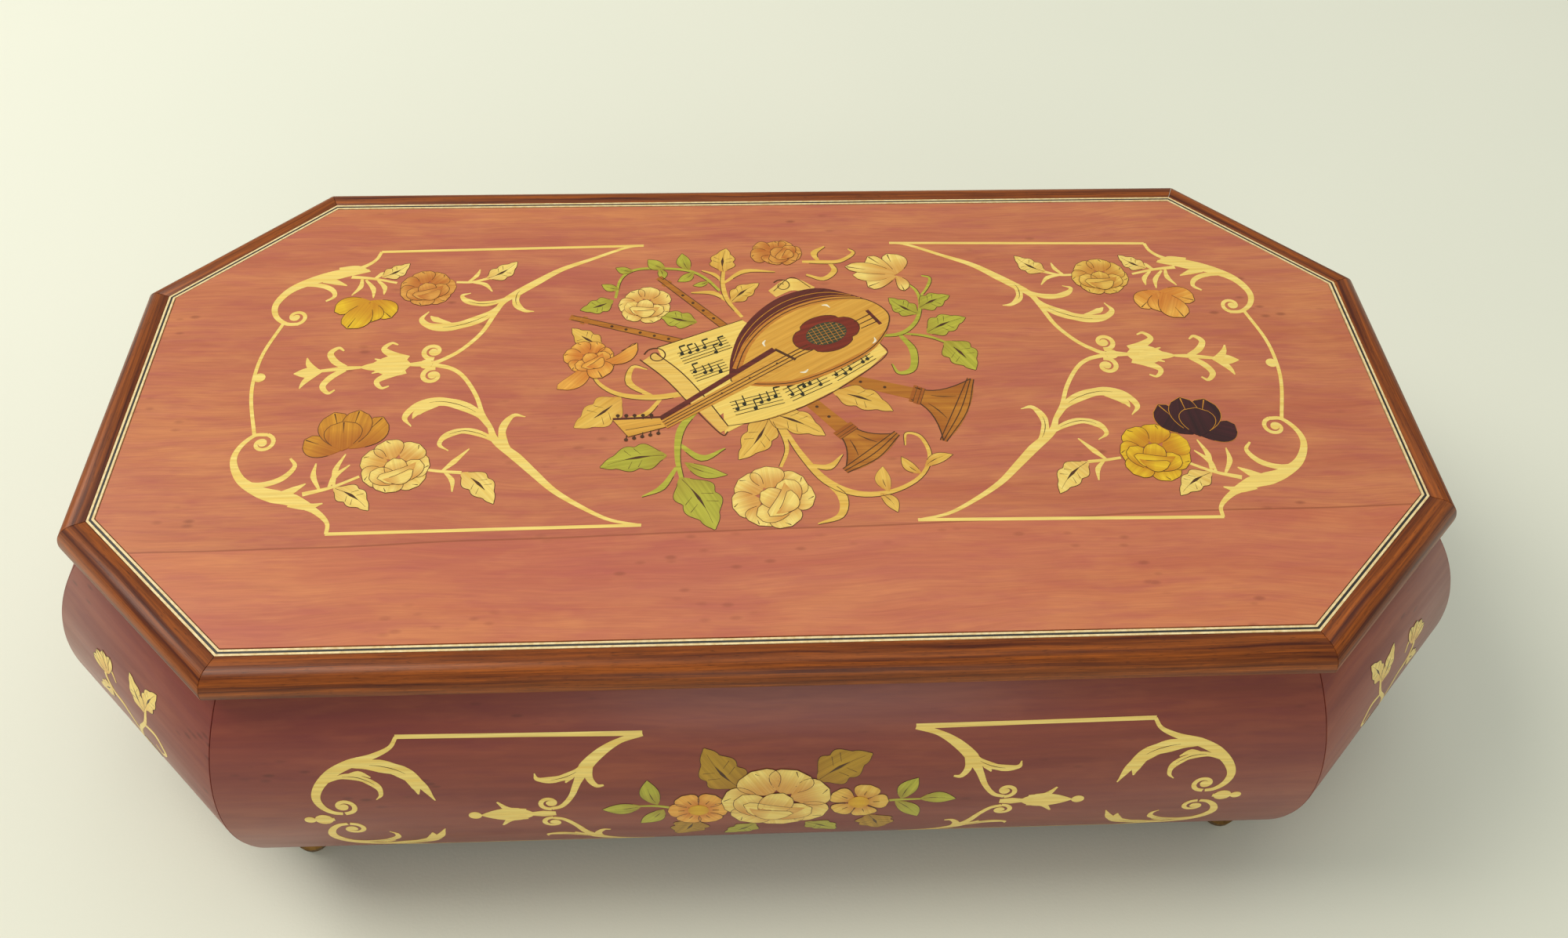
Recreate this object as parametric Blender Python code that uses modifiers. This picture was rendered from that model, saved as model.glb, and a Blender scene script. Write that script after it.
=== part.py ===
"""A wind up music box: an octagonal jewel box with bulging sides on four feet, a hinged lid with a
marquetry field, and a cylinder movement that is wound by a key under its base.

Axes: X runs along the box, the front is -Y, Z is up, and the floor that it stands on is Z = 0.
"""
import math

import bmesh
import bpy
from mathutils import Matrix, Vector

MM = 0.001
GAP = 0.3 * MM                       # room between pieces that touch

# Lid and case
LID_LENGTH = 302.8 * MM
LID_WIDTH = 152.6 * MM
LID_CORNER = 38.3 * MM               # how far each corner is cut back along both sides
LID_THICKNESS = 8.0 * MM
RIM_HEIGHT = 70.7 * MM               # top of the case walls
CASE_BOTTOM = 8.0 * MM               # lower edge of the case walls
RIM_INSET = 3.5 * MM                 # rim behind the lid's edge
BULGE_OVERHANG = 8.8 * MM            # widest point beyond the lid's edge
BULGE_LEVEL = 38.1 * MM              # height of the widest point
WALL_INSET = 10.5 * MM               # inner face of the walls behind the lid's edge
BULGE_STEPS = 14

# Lid build-up
VENEER = 0.6 * MM
STRING_INSET = 7.4 * MM              # middle of the stringing behind the lid's edge
STRING_WIDTH = 1.5 * MM
LINING_BOARD = 1.2 * MM
LINING_PLAY = 2.1 * MM               # room around the lid's lining board
SHOULDER_WIDTH = 3.9 * MM            # the moulding's rounded shoulder, in from the edge and down
SHOULDER_DROP = 4.8 * MM
LIP_INSET = 2.6 * MM                 # foot of the moulding's cove in from the edge

# Base, feet and furnishing
BASE_UNDERSIDE = 14.0 * MM
BASE_THICKNESS = 6.0 * MM
FOOT_INSET = 4.1 * MM                # foot's middle in from the front wall's ends
FOOT_RADIUS = 4.2 * MM
PAD_THICKNESS = 2.0 * MM
LINING_THICKNESS = 1.0 * MM
LINING_TOP = 66.0 * MM
PARTITION = 3.0 * MM
PARTITION_TOP = 60.0 * MM
ROLL_RADIUS = 6.4 * MM
ROLL_COUNT = 3
COVER_THICKNESS = 2.0 * MM

# Hinges
HINGE_REACH = 80.0 * MM
HINGE_LENGTH = 22.0 * MM
HINGE_INSET = 2.8 * MM               # hinge axis in from the lid's back edge
LEAF = 0.8 * MM
LEAF_WIDTH = 4.7 * MM
KNUCKLE_RADIUS = 1.6 * MM
KNUCKLE_MIDDLE = 8.0 * MM
HINGE_PIN_RADIUS = 0.6 * MM

# Movement, heights from the bedplate up and places along the cylinder
BEDPLATE = 4.0 * MM
BEDPLATE_LEFT = 26.0 * MM
BEDPLATE_RIGHT = 37.0 * MM
BEDPLATE_BACK = 45.0 * MM
BEDPLATE_FRONT = 46.0 * MM
ARBOR_ABOVE_BED = 20.2 * MM
CYLINDER_RADIUS = 6.5 * MM
CYLINDER_WALL = 0.9 * MM
CYLINDER_BACK = 8.0 * MM
CYLINDER_FRONT = -34.0 * MM
ARBOR_RADIUS = 1.2 * MM
TOOTH_COUNT = 36
PIN_HEIGHT = 0.9 * MM
COMB_REACH = 14.6 * MM
COMB_WIDTH = 14.0 * MM
BARREL_Y = 27.0 * MM
BARREL_RADIUS = 15.2 * MM
BARREL_WALL = 1.2 * MM
WINDING_RADIUS = 2.5 * MM
CROWN_TEETH = 36
PINION_TEETH = 12
DRIVE_MODULE = 0.75 * MM
DRIVE_DEDENDUM = 0.8 * MM            # teeth below and above the pitch line
DRIVE_ADDENDUM = 0.6 * MM
TRAIN_WHEEL_TEETH = 40
TRAIN_PINION_TEETH = 10
TRAIN_MODULE = 0.4 * MM
TRAIN_DEDENDUM = 0.5 * MM
TRAIN_ADDENDUM = 0.32 * MM
WORM_WHEEL_TEETH = 24
WORM_MODULE = 0.5 * MM
WORM_DEDENDUM = 0.65 * MM
WORM_ADDENDUM = 0.35 * MM
WORM_RADIUS = 1.6 * MM
TRAIN_ANGLE = math.radians(210)      # from the cylinder to the governor wheel, seen from the front
FAN_RADIUS = 4.5 * MM
STOP_PIVOT_Y = -50.0 * MM
STOP_ARM = 7.0 * MM
STOP_PIN_RADIUS = 1.0 * MM
KEY_SPAN = 8.5 * MM
KEY_LOBE = 5.0 * MM

# Worked out from the sizes above
LID_UNDERSIDE = RIM_HEIGHT + GAP
LID_TOP = LID_UNDERSIDE + LID_THICKNESS
BULGE_RISE = RIM_HEIGHT - BULGE_LEVEL
BULGE_DEPTH = BULGE_OVERHANG + RIM_INSET
BULGE_RADIUS = (BULGE_RISE ** 2 + BULGE_DEPTH ** 2) / (2 * BULGE_DEPTH)
BASE_TOP = BASE_UNDERSIDE + BASE_THICKNESS
INNER_X = LID_LENGTH / 2 - WALL_INSET
INNER_Y = LID_WIDTH / 2 - WALL_INSET
OFFSET_SHARE = 2 - math.sqrt(2)      # growth of the corner cut for each unit of offset
INNER_CORNER = LID_CORNER - OFFSET_SHARE * WALL_INSET
INNER_DIAGONAL = INNER_X + INNER_Y - INNER_CORNER
HINGE_Y = LID_WIDTH / 2 - HINGE_INSET
HINGE_Z = RIM_HEIGHT + GAP / 2

BED_BOTTOM = BASE_TOP + GAP
BED_TOP = BED_BOTTOM + BEDPLATE
AXIS_Z = BED_TOP + ARBOR_ABOVE_BED
TRAIN_REACH = (TRAIN_WHEEL_TEETH + TRAIN_PINION_TEETH) * TRAIN_MODULE / 2
WORM_WHEEL_RADIUS = WORM_WHEEL_TEETH * WORM_MODULE / 2
GOVERNOR_X = TRAIN_REACH * math.cos(TRAIN_ANGLE)
GOVERNOR_Z = AXIS_Z + TRAIN_REACH * math.sin(TRAIN_ANGLE)
FLY_X = GOVERNOR_X - WORM_WHEEL_RADIUS - WORM_RADIUS
STOP_PIN_Y = STOP_PIVOT_Y - STOP_ARM
STOP_CLEARANCE = 3.0 * MM            # from the middle of the stop pin to the corner wall
# The movement stands as far left as the front left corner wall lets the stop pin go.
CYLINDER_X = -(INNER_DIAGONAL + STOP_PIN_Y - STOP_CLEARANCE * math.sqrt(2)) - FLY_X
GOVERNOR_X += CYLINDER_X
FLY_X += CYLINDER_X
FLY_Y = -39.2 * MM
STOP_Z = AXIS_Z + 1.5 * MM
BAY_RIGHT = CYLINDER_X + BEDPLATE_RIGHT + 4.0 * MM
TRAY_LEFT = BAY_RIGHT + PARTITION + GAP
COVER_BOTTOM = PARTITION_TOP + GAP
CROWN_RADIUS = CROWN_TEETH * DRIVE_MODULE / 2
PINION_RADIUS = PINION_TEETH * DRIVE_MODULE / 2
CROWN_PITCH_Z = AXIS_Z - PINION_RADIUS
CROWN_ROOT_Z = CROWN_PITCH_Z - DRIVE_DEDENDUM
CROWN_TIP_Z = CROWN_PITCH_Z + DRIVE_ADDENDUM

SIDES = ("front", "front_right", "right", "back_right", "back", "back_left", "left", "front_left")

for old in list(bpy.data.objects):
    bpy.data.objects.remove(old, do_unlink=True)

parts = bpy.data.collections.new("wind_up_music_box")
cutters = bpy.data.collections.new("cutters")
bpy.context.scene.collection.children.link(parts)
bpy.context.scene.collection.children.link(cutters)


# ---------------------------------------------------------------- materials

def make_material(name, color, roughness, metallic=0.0, alpha=1.0):
    material = bpy.data.materials.new(name)
    material.use_nodes = True
    shader = material.node_tree.nodes["Principled BSDF"]
    shader.inputs["Base Color"].default_value = (*color, 1.0)
    shader.inputs["Roughness"].default_value = roughness
    shader.inputs["Metallic"].default_value = metallic
    shader.inputs["Alpha"].default_value = alpha
    return material


ROSE = make_material("rose_veneer", (0.52, 0.20, 0.17), 0.35)
MOULDING = make_material("moulding_wood", (0.25, 0.09, 0.04), 0.35)
STRING = make_material("stringing", (0.75, 0.62, 0.38), 0.4)
BARE_WOOD = make_material("bare_wood", (0.60, 0.44, 0.28), 0.6)
VELVET = make_material("velvet", (0.28, 0.02, 0.04), 0.9)
BRASS = make_material("brass", (0.70, 0.50, 0.20), 0.3, 1.0)
AGED_BRASS = make_material("aged_brass", (0.22, 0.15, 0.07), 0.45, 1.0)
STEEL = make_material("steel", (0.62, 0.62, 0.62), 0.3, 1.0)
CASTING = make_material("nickelled_casting", (0.55, 0.54, 0.50), 0.4, 1.0)
CLEAR = make_material("clear_cover", (0.9, 0.93, 0.95), 0.05, 0.0, 0.3)


# ---------------------------------------------------------------- helpers

def joint_empty(name, place):
    """An empty on a joint's axis, the parent of all that turns or slides there."""
    empty = bpy.data.objects.new(name, None)
    empty.empty_display_size = 0.01
    empty.location = place
    parts.objects.link(empty)
    return empty


def add_object(name, mesh, material, parent=None, place=(0, 0, 0)):
    obj = bpy.data.objects.new(name, mesh)
    obj.location = place
    mesh.materials.clear()
    mesh.materials.append(material)
    parts.objects.link(obj)
    if parent:
        obj.parent = parent
        obj.matrix_parent_inverse = Matrix.Translation(parent.location).inverted()
    return obj


def mesh_from(bm, name):
    bmesh.ops.recalc_face_normals(bm, faces=bm.faces)
    mesh = bpy.data.meshes.new(name)
    bm.to_mesh(mesh)
    bm.free()
    return mesh


def box_mesh(name, low, high):
    """A box between two corners."""
    size = Vector(high) - Vector(low)
    middle = (Vector(high) + Vector(low)) / 2
    bm = bmesh.new()
    bmesh.ops.create_cube(bm, size=1.0, matrix=Matrix.Translation(middle) @ Matrix.Diagonal((*size, 1.0)))
    return mesh_from(bm, name)


def rod_mesh(name, radius, start, end, segments=20):
    """A round bar between two points."""
    start, end = Vector(start), Vector(end)
    turn = (end - start).to_track_quat("Z", "Y").to_matrix().to_4x4()
    place = Matrix.Translation((start + end) / 2) @ turn
    bm = bmesh.new()
    bmesh.ops.create_cone(bm, cap_ends=True, segments=segments, radius1=radius, radius2=radius,
                          depth=(end - start).length, matrix=place)
    return mesh_from(bm, name)


def outline_mesh(name, outlines, thickness, matrix=Matrix()):
    """A flat piece cut from sheet: closed outlines, the inner ones being holes."""
    curve = bpy.data.curves.new(name, "CURVE")
    curve.dimensions = "2D"
    curve.fill_mode = "BOTH"
    curve.extrude = thickness / 2
    for outline in outlines:
        spline = curve.splines.new("POLY")
        spline.points.add(len(outline) - 1)
        for point, (x, y) in zip(spline.points, outline):
            point.co = (x, y, 0.0, 1.0)
        spline.use_cyclic_u = True
    guide = bpy.data.objects.new(name + "_guide", curve)
    bpy.context.scene.collection.objects.link(guide)
    graph = bpy.context.evaluated_depsgraph_get()
    mesh = bpy.data.meshes.new_from_object(guide.evaluated_get(graph))
    bpy.data.objects.remove(guide, do_unlink=True)
    bm = bmesh.new()
    bm.from_mesh(mesh)
    bmesh.ops.remove_doubles(bm, verts=bm.verts, dist=0.00001)
    bm.transform(matrix)
    return mesh_from(bm, name)


def plate_mesh(name, outline, low, high):
    """A level plate between two heights."""
    return outline_mesh(name, [outline], high - low, Matrix.Translation((0, 0, (low + high) / 2)))


def turned(name, profile, material, parent=None, place=(0, 0, 0), steps=24, lengthwise=False):
    """A turned piece. The profile is (radius, height) points from the top end down its outer side;
    lengthwise lays its axis along Y with the top end towards the back."""
    mesh = bpy.data.meshes.new(name)
    points = [(radius, 0.0, height) for radius, height in profile]
    edges = [(i, i + 1) for i in range(len(points) - 1)]
    mesh.from_pydata(points, edges, [])
    obj = add_object(name, mesh, material, parent, place)
    if lengthwise:
        obj.rotation_euler = (math.radians(-90), 0, 0)
    screw = obj.modifiers.new("turning", "SCREW")
    screw.axis = "Z"
    screw.steps = steps
    screw.render_steps = steps
    screw.use_merge_vertices = True
    screw.merge_threshold = 0.00001
    return obj


def boolean(obj, mesh, operation):
    """Cut a shape from a piece or join it on."""
    cutter = bpy.data.objects.new("cutter_" + mesh.name, mesh)
    cutter.hide_render = True
    cutter.display_type = "WIRE"
    cutters.objects.link(cutter)
    modifier = obj.modifiers.new(mesh.name, "BOOLEAN")
    modifier.operation = operation
    modifier.object = cutter
    modifier.solver = "EXACT"


def cut(obj, mesh):
    boolean(obj, mesh, "DIFFERENCE")


def join(obj, mesh):
    boolean(obj, mesh, "UNION")


def octagon(offset):
    """Corners of the box's eight-sided plan, at an offset from the lid's edge, from the front left."""
    x = LID_LENGTH / 2 + offset
    y = LID_WIDTH / 2 + offset
    corner = LID_CORNER + OFFSET_SHARE * offset
    return [(corner - x, -y), (x - corner, -y), (x, corner - y), (x, y - corner),
            (x - corner, y), (corner - x, y), (-x, y - corner), (-x, corner - y)]


def clip_left(outline, limit):
    """The part of a convex outline to the right of a limit."""
    kept = []
    for i, (x, y) in enumerate(outline):
        next_x, next_y = outline[(i + 1) % len(outline)]
        if x >= limit:
            kept.append((x, y))
        if (x - limit) * (next_x - limit) < 0:
            share = (limit - x) / (next_x - x)
            kept.append((limit, y + share * (next_y - y)))
    return kept


def clip_right(outline, limit):
    """The part of a convex outline to the left of a limit."""
    flipped = [(-x, y) for x, y in outline]
    return [(-x, y) for x, y in clip_left(flipped, -limit)]


def mitred_length(name, side, profile, material, parent=None):
    """One of eight mitred lengths around the box. The profile is (offset, height) points."""
    corners = [Vector(c) for c in octagon(0.0)]
    start, end = corners[side], corners[(side + 1) % 8]
    along = (end - start).normalized()
    outward = Vector((along.y, -along.x))
    middle = (start + end) / 2
    reach = (end - start).length
    bm = bmesh.new()
    ring = []
    for offset, height in profile:
        place = middle + outward * offset - along * reach
        ring.append(bm.verts.new((place.x, place.y, height)))
    face = bm.faces.new(ring)
    grown = bmesh.ops.extrude_face_region(bm, geom=[face])["geom"]
    moved = [v for v in grown if isinstance(v, bmesh.types.BMVert)]
    bmesh.ops.translate(bm, verts=moved, vec=(*(along * 2 * reach), 0.0))
    for corner, sense in ((start, -1), (end, 1)):
        turn = math.radians(22.5) * sense
        mitre = Vector((along.x * math.cos(turn) - along.y * math.sin(turn),
                        along.x * math.sin(turn) + along.y * math.cos(turn))) * sense
        place = corner - mitre * GAP / 2
        geometry = bm.verts[:] + bm.edges[:] + bm.faces[:]
        bmesh.ops.bisect_plane(bm, geom=geometry, plane_co=(place.x, place.y, 0.0),
                               plane_no=(mitre.x, mitre.y, 0.0), clear_outer=True)
        rim = [e for e in bm.edges if e.is_boundary]
        bmesh.ops.holes_fill(bm, edges=rim, sides=0)
    return add_object(name, mesh_from(bm, name), material, parent)


def gear_outline(teeth, root, tip, phase, width):
    """A toothed edge with straight-sided teeth. Phase is the angle of a tooth's middle."""
    points = []
    pitch = 2 * math.pi / teeth
    for i in range(teeth):
        middle = phase + i * pitch
        for share, radius in ((-width / 2, root), (-width / 4, tip), (width / 4, tip), (width / 2, root)):
            angle = middle + share * pitch
            points.append((radius * math.cos(angle), radius * math.sin(angle)))
    return points


def circle(radius, x=0.0, y=0.0, count=20):
    steps = [2 * math.pi * i / count for i in range(count)]
    return [(x + radius * math.cos(a), y + radius * math.sin(a)) for a in steps]


def upright(y):
    """Turns a flat piece up to stand across the box at a given Y, its outline's second axis being Z."""
    return Matrix(((1, 0, 0, 0), (0, 0, -1, y), (0, 1, 0, 0), (0, 0, 0, 1)))


def bulge_offset(height):
    """How far the wall's outer face stands from the lid's edge at a height."""
    rise = height - BULGE_LEVEL
    return BULGE_OVERHANG - BULGE_RADIUS + math.sqrt(BULGE_RADIUS ** 2 - rise ** 2)


# ---------------------------------------------------------------- joints

case = joint_empty("case", (0, 0, 0))
lid = joint_empty("lid_hinge_axis", (0, HINGE_Y, HINGE_Z))
winding = joint_empty("winding_axis", (CYLINDER_X, BARREL_Y, BED_TOP))
barrel = joint_empty("barrel_axis", (CYLINDER_X, BARREL_Y, CROWN_PITCH_Z))
cylinder = joint_empty("cylinder_axis", (CYLINDER_X, 0, AXIS_Z))
governor = joint_empty("governor_wheel_axis", (GOVERNOR_X, FLY_Y, GOVERNOR_Z))
fly = joint_empty("fly_axis", (FLY_X, FLY_Y, GOVERNOR_Z))
stop_pin = joint_empty("stop_pin_axis", (FLY_X, STOP_PIN_Y, STOP_Z))
stop_lever = joint_empty("stop_lever_axis", (FLY_X, STOP_PIVOT_Y, STOP_Z))


# ---------------------------------------------------------------- case walls and base

def wall_profile():
    """The wall in section: a flat inner face and a bulging outer face."""
    points = [(-WALL_INSET, CASE_BOTTOM)]
    for i in range(BULGE_STEPS + 1):
        height = CASE_BOTTOM + (RIM_HEIGHT - CASE_BOTTOM) * i / BULGE_STEPS
        points.append((bulge_offset(height), height))
    points.append((-WALL_INSET, RIM_HEIGHT))
    return points


walls = {side: mitred_length("panel_" + side, index, wall_profile(), ROSE, case)
         for index, side in enumerate(SIDES)}

base_outline = octagon(-WALL_INSET - GAP)
base_board = add_object("base_board", plate_mesh("base_board", base_outline, BASE_UNDERSIDE, BASE_TOP),
                        BARE_WOOD, case)
cut(base_board, rod_mesh("winding_hole", WINDING_RADIUS + 0.7 * MM,
                         (CYLINDER_X, BARREL_Y, BASE_UNDERSIDE - MM),
                         (CYLINDER_X, BARREL_Y, BASE_TOP + MM)))


def foot(name, x, y):
    """A turned ball foot with a flat under it and a collar above."""
    top = CASE_BOTTOM - GAP
    r = FOOT_RADIUS
    profile = [(0, top), (0.78 * r, top), (0.78 * r, top - MM), (0.5 * r, top - 1.5 * MM),
               (0.5 * r, 0.70 * top), (0.86 * r, 0.56 * top), (r, 0.36 * top), (0.9 * r, 0.14 * top),
               (0.62 * r, 0), (0, 0)]
    turned(name, profile, AGED_BRASS, case, (x, y, 0), 20)


foot_y = LID_WIDTH / 2 + (bulge_offset(CASE_BOTTOM) - WALL_INSET) / 2
foot_x = LID_LENGTH / 2 - LID_CORNER - FOOT_INSET
for end, x in (("left", -foot_x), ("right", foot_x)):
    foot("foot_front_" + end, x, -foot_y)
    foot("foot_back_" + end, x, foot_y)


# ---------------------------------------------------------------- lid

def moulding_profile():
    """The lid's edging: a flat top, a rounded shoulder, a lip and a cove below."""
    inner = -STRING_INSET + STRING_WIDTH / 2 + GAP
    quarter = [math.radians(15 * i) for i in range(7)]
    shoulder = [(SHOULDER_WIDTH * (math.sin(a) - 1), LID_TOP - SHOULDER_DROP * (1 - math.cos(a)))
                for a in quarter]
    lip_low = LID_TOP - SHOULDER_DROP - 0.5 * MM
    lip = [(0.0, lip_low), (-MM, lip_low - 0.7 * MM), (0.4 * MM - LIP_INSET, LID_UNDERSIDE + 0.6 * MM),
           (-LIP_INSET, LID_UNDERSIDE)]
    return [(inner, LID_TOP)] + shoulder + lip + [(inner, LID_UNDERSIDE)]


mouldings = {side: mitred_length("lid_moulding_" + side, index, moulding_profile(), MOULDING, lid)
             for index, side in enumerate(SIDES)}

board_outline = octagon(-STRING_INSET + STRING_WIDTH / 2)
lid_board = add_object("lid_board", plate_mesh("lid_board", board_outline, LID_UNDERSIDE,
                                               LID_TOP - VENEER - GAP), BARE_WOOD, lid)
veneer_outline = octagon(-STRING_INSET - STRING_WIDTH / 2 - GAP)
add_object("lid_veneer", plate_mesh("lid_veneer", veneer_outline, LID_TOP - VENEER, LID_TOP), ROSE, lid)
string_outlines = [octagon(-STRING_INSET + STRING_WIDTH / 2), octagon(-STRING_INSET - STRING_WIDTH / 2)]
string_place = Matrix.Translation((0, 0, LID_TOP - VENEER / 2))
add_object("lid_stringing", outline_mesh("lid_stringing", string_outlines, VENEER, string_place),
           STRING, lid)
lining_outline = octagon(-WALL_INSET - LINING_PLAY)
add_object("lid_lining", plate_mesh("lid_lining", lining_outline, LID_UNDERSIDE - GAP - LINING_BOARD,
                                    LID_UNDERSIDE - GAP), VELVET, lid)


# ---------------------------------------------------------------- hinges

leaf_inner = HINGE_Y - KNUCKLE_RADIUS - 2 * GAP - LEAF_WIDTH
leaf_outer = HINGE_Y - KNUCKLE_RADIUS - 2 * GAP


def hinge(name, x):
    """A butt hinge let into the rim and the lid, its pin fixed in the case leaf's two knuckles."""
    half = HINGE_LENGTH / 2
    middle = KNUCKLE_MIDDLE / 2
    low_leaf = (RIM_HEIGHT - LEAF, RIM_HEIGHT)
    high_leaf = (LID_UNDERSIDE, LID_UNDERSIDE + LEAF)
    case_leaf = add_object("hinge_case_leaf_" + name,
                           box_mesh("case_leaf_" + name, (x - half, leaf_inner, low_leaf[0]),
                                    (x + half, leaf_outer, low_leaf[1])), BRASS, case)
    for end, inner, outer in (("a", -half, -middle - GAP), ("b", middle + GAP, half)):
        join(case_leaf, box_mesh(f"case_arm_{name}_{end}", (x + inner, leaf_outer - GAP, low_leaf[0]),
                                 (x + outer, HINGE_Y, low_leaf[1])))
        join(case_leaf, rod_mesh(f"case_knuckle_{name}_{end}", KNUCKLE_RADIUS,
                                 (x + inner, HINGE_Y, HINGE_Z), (x + outer, HINGE_Y, HINGE_Z)))
    join(case_leaf, rod_mesh("hinge_pin_" + name, HINGE_PIN_RADIUS, (x - middle - MM, HINGE_Y, HINGE_Z),
                             (x + middle + MM, HINGE_Y, HINGE_Z), 12))
    lid_leaf = add_object("hinge_lid_leaf_" + name,
                          box_mesh("lid_leaf_" + name, (x - half, leaf_inner, high_leaf[0]),
                                   (x + half, leaf_outer, high_leaf[1])), BRASS, lid)
    join(lid_leaf, box_mesh("lid_arm_" + name, (x - middle, leaf_outer - GAP, high_leaf[0]),
                            (x + middle, HINGE_Y, high_leaf[1])))
    join(lid_leaf, rod_mesh("lid_knuckle_" + name, KNUCKLE_RADIUS, (x - middle, HINGE_Y, HINGE_Z),
                            (x + middle, HINGE_Y, HINGE_Z)))
    cut(lid_leaf, rod_mesh("lid_knuckle_bore_" + name, HINGE_PIN_RADIUS + GAP, (x - half, HINGE_Y, HINGE_Z),
                           (x + half, HINGE_Y, HINGE_Z), 12))
    for tag, piece in (("wall", walls["back"]), ("board", lid_board), ("edge", mouldings["back"])):
        cut(piece, box_mesh(f"{tag}_mortise_{name}", (x - half - GAP, leaf_inner - GAP, low_leaf[0] - GAP),
                            (x + half + GAP, HINGE_Y, high_leaf[1] + GAP)))
    for tag, piece in (("wall", walls["back"]), ("edge", mouldings["back"])):
        cut(piece, rod_mesh(f"{tag}_knuckle_room_{name}", KNUCKLE_RADIUS + GAP,
                            (x - half - GAP, HINGE_Y, HINGE_Z), (x + half + GAP, HINGE_Y, HINGE_Z)))


hinge("left", -HINGE_REACH)
hinge("right", HINGE_REACH)


# ---------------------------------------------------------------- tray and movement bay

partition_y = INNER_Y - GAP
add_object("bay_partition", box_mesh("bay_partition", (BAY_RIGHT, -partition_y, BASE_TOP + GAP),
                                     (BAY_RIGHT + PARTITION, partition_y, PARTITION_TOP)), BARE_WOOD, case)
pad_outline = clip_left(octagon(-WALL_INSET - GAP), TRAY_LEFT)
pad_top = BASE_TOP + GAP + PAD_THICKNESS
add_object("tray_floor_pad", plate_mesh("tray_floor_pad", pad_outline, BASE_TOP + GAP, pad_top),
           VELVET, case)

lining_out = octagon(-WALL_INSET - GAP)
lining_in = octagon(-WALL_INSET - GAP - LINING_THICKNESS)
strip = [(TRAY_LEFT, lining_out[0][1])] + lining_out[1:5] + [(TRAY_LEFT, lining_out[4][1])]
strip += [(TRAY_LEFT, lining_in[4][1])] + lining_in[4:0:-1] + [(TRAY_LEFT, lining_in[0][1])]
add_object("tray_lining", plate_mesh("tray_lining", strip, pad_top + GAP, LINING_TOP), VELVET, case)

roll_reach = INNER_Y - 2 * GAP - LINING_THICKNESS
roll_end = [(0, 0), (0.55, 0.1), (0.88, 0.4), (1.0, 1.0)]     # radius and place, in roll radii
roll_profile = [(r * ROLL_RADIUS, roll_reach - y * ROLL_RADIUS) for r, y in roll_end]
roll_profile += [(r, -y) for r, y in reversed(roll_profile)]
for i in range(ROLL_COUNT):
    roll_x = TRAY_LEFT + GAP + ROLL_RADIUS + i * (2 * ROLL_RADIUS + GAP)
    turned(f"ring_roll_{i + 1}", roll_profile, VELVET, case,
           (roll_x, 0, pad_top + GAP + ROLL_RADIUS), 16, True)

cleat_depth = 6.0 * MM
cleat_height = 8.0 * MM
cleat_reach = INNER_Y - INNER_CORNER - 4.0 * MM
cleat_x = GAP - INNER_X
cleat = add_object("cover_cleat",
                   box_mesh("cover_cleat", (cleat_x, -cleat_reach, PARTITION_TOP - cleat_height),
                            (cleat_x + cleat_depth, cleat_reach, PARTITION_TOP)), BARE_WOOD, case)
cover_outline = clip_right(octagon(-WALL_INSET - GAP), BAY_RIGHT + PARTITION)
cover = add_object("movement_cover", plate_mesh("movement_cover", cover_outline, COVER_BOTTOM,
                                                COVER_BOTTOM + COVER_THICKNESS), CLEAR, case)
cut(cover, rod_mesh("stop_pin_hole", STOP_PIN_RADIUS + 2 * GAP, (FLY_X, STOP_PIN_Y, COVER_BOTTOM - MM),
                    (FLY_X, STOP_PIN_Y, COVER_BOTTOM + COVER_THICKNESS + MM)))

screw_shank = 0.8 * MM
screw_length = 6.0 * MM


def screw(name, x, y, seat, head_radius, shank, length, up=1):
    """A screw with a domed slotted head, its head above its seat, or below it where up is -1."""
    h = 0.42 * head_radius
    profile = [(0, h), (0.55 * head_radius, 0.92 * h), (head_radius, 0.35 * h), (head_radius, GAP),
               (shank, GAP), (shank, -length), (0, -length - shank)]
    piece = turned(name, profile, STEEL, case, (x, y, seat), 16)
    if up < 0:
        piece.rotation_euler = (math.radians(180), 0, 0)
    slot = sorted((seat + up * h * 0.55, seat + up * (h + MM)))
    slot_half = 0.14 * head_radius
    cut(piece, box_mesh(name + "_slot", (x - 2 * head_radius, y - slot_half, slot[0]),
                        (x + 2 * head_radius, y + slot_half, slot[1])))


def screw_hole(piece, name, x, y, low, high, shank):
    cut(piece, rod_mesh(name, shank + GAP, (x, y, low), (x, y, high), 16))


cover_seat = COVER_BOTTOM + COVER_THICKNESS
partition = bpy.data.objects["bay_partition"]
for name, x, holder in (("left", cleat_x + cleat_depth / 2, cleat),
                        ("right", BAY_RIGHT + PARTITION / 2, partition)):
    screw("cover_screw_" + name, x, 0, cover_seat, 2.0 * MM, screw_shank, screw_length)
    screw_hole(cover, "cover_hole_" + name, x, 0, COVER_BOTTOM - MM, cover_seat + MM, screw_shank)
    screw_hole(holder, "cover_screw_hole_" + name, x, 0, cover_seat - screw_length - 2 * MM,
               PARTITION_TOP + MM, screw_shank)


# ---------------------------------------------------------------- movement: bedplate and comb

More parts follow.
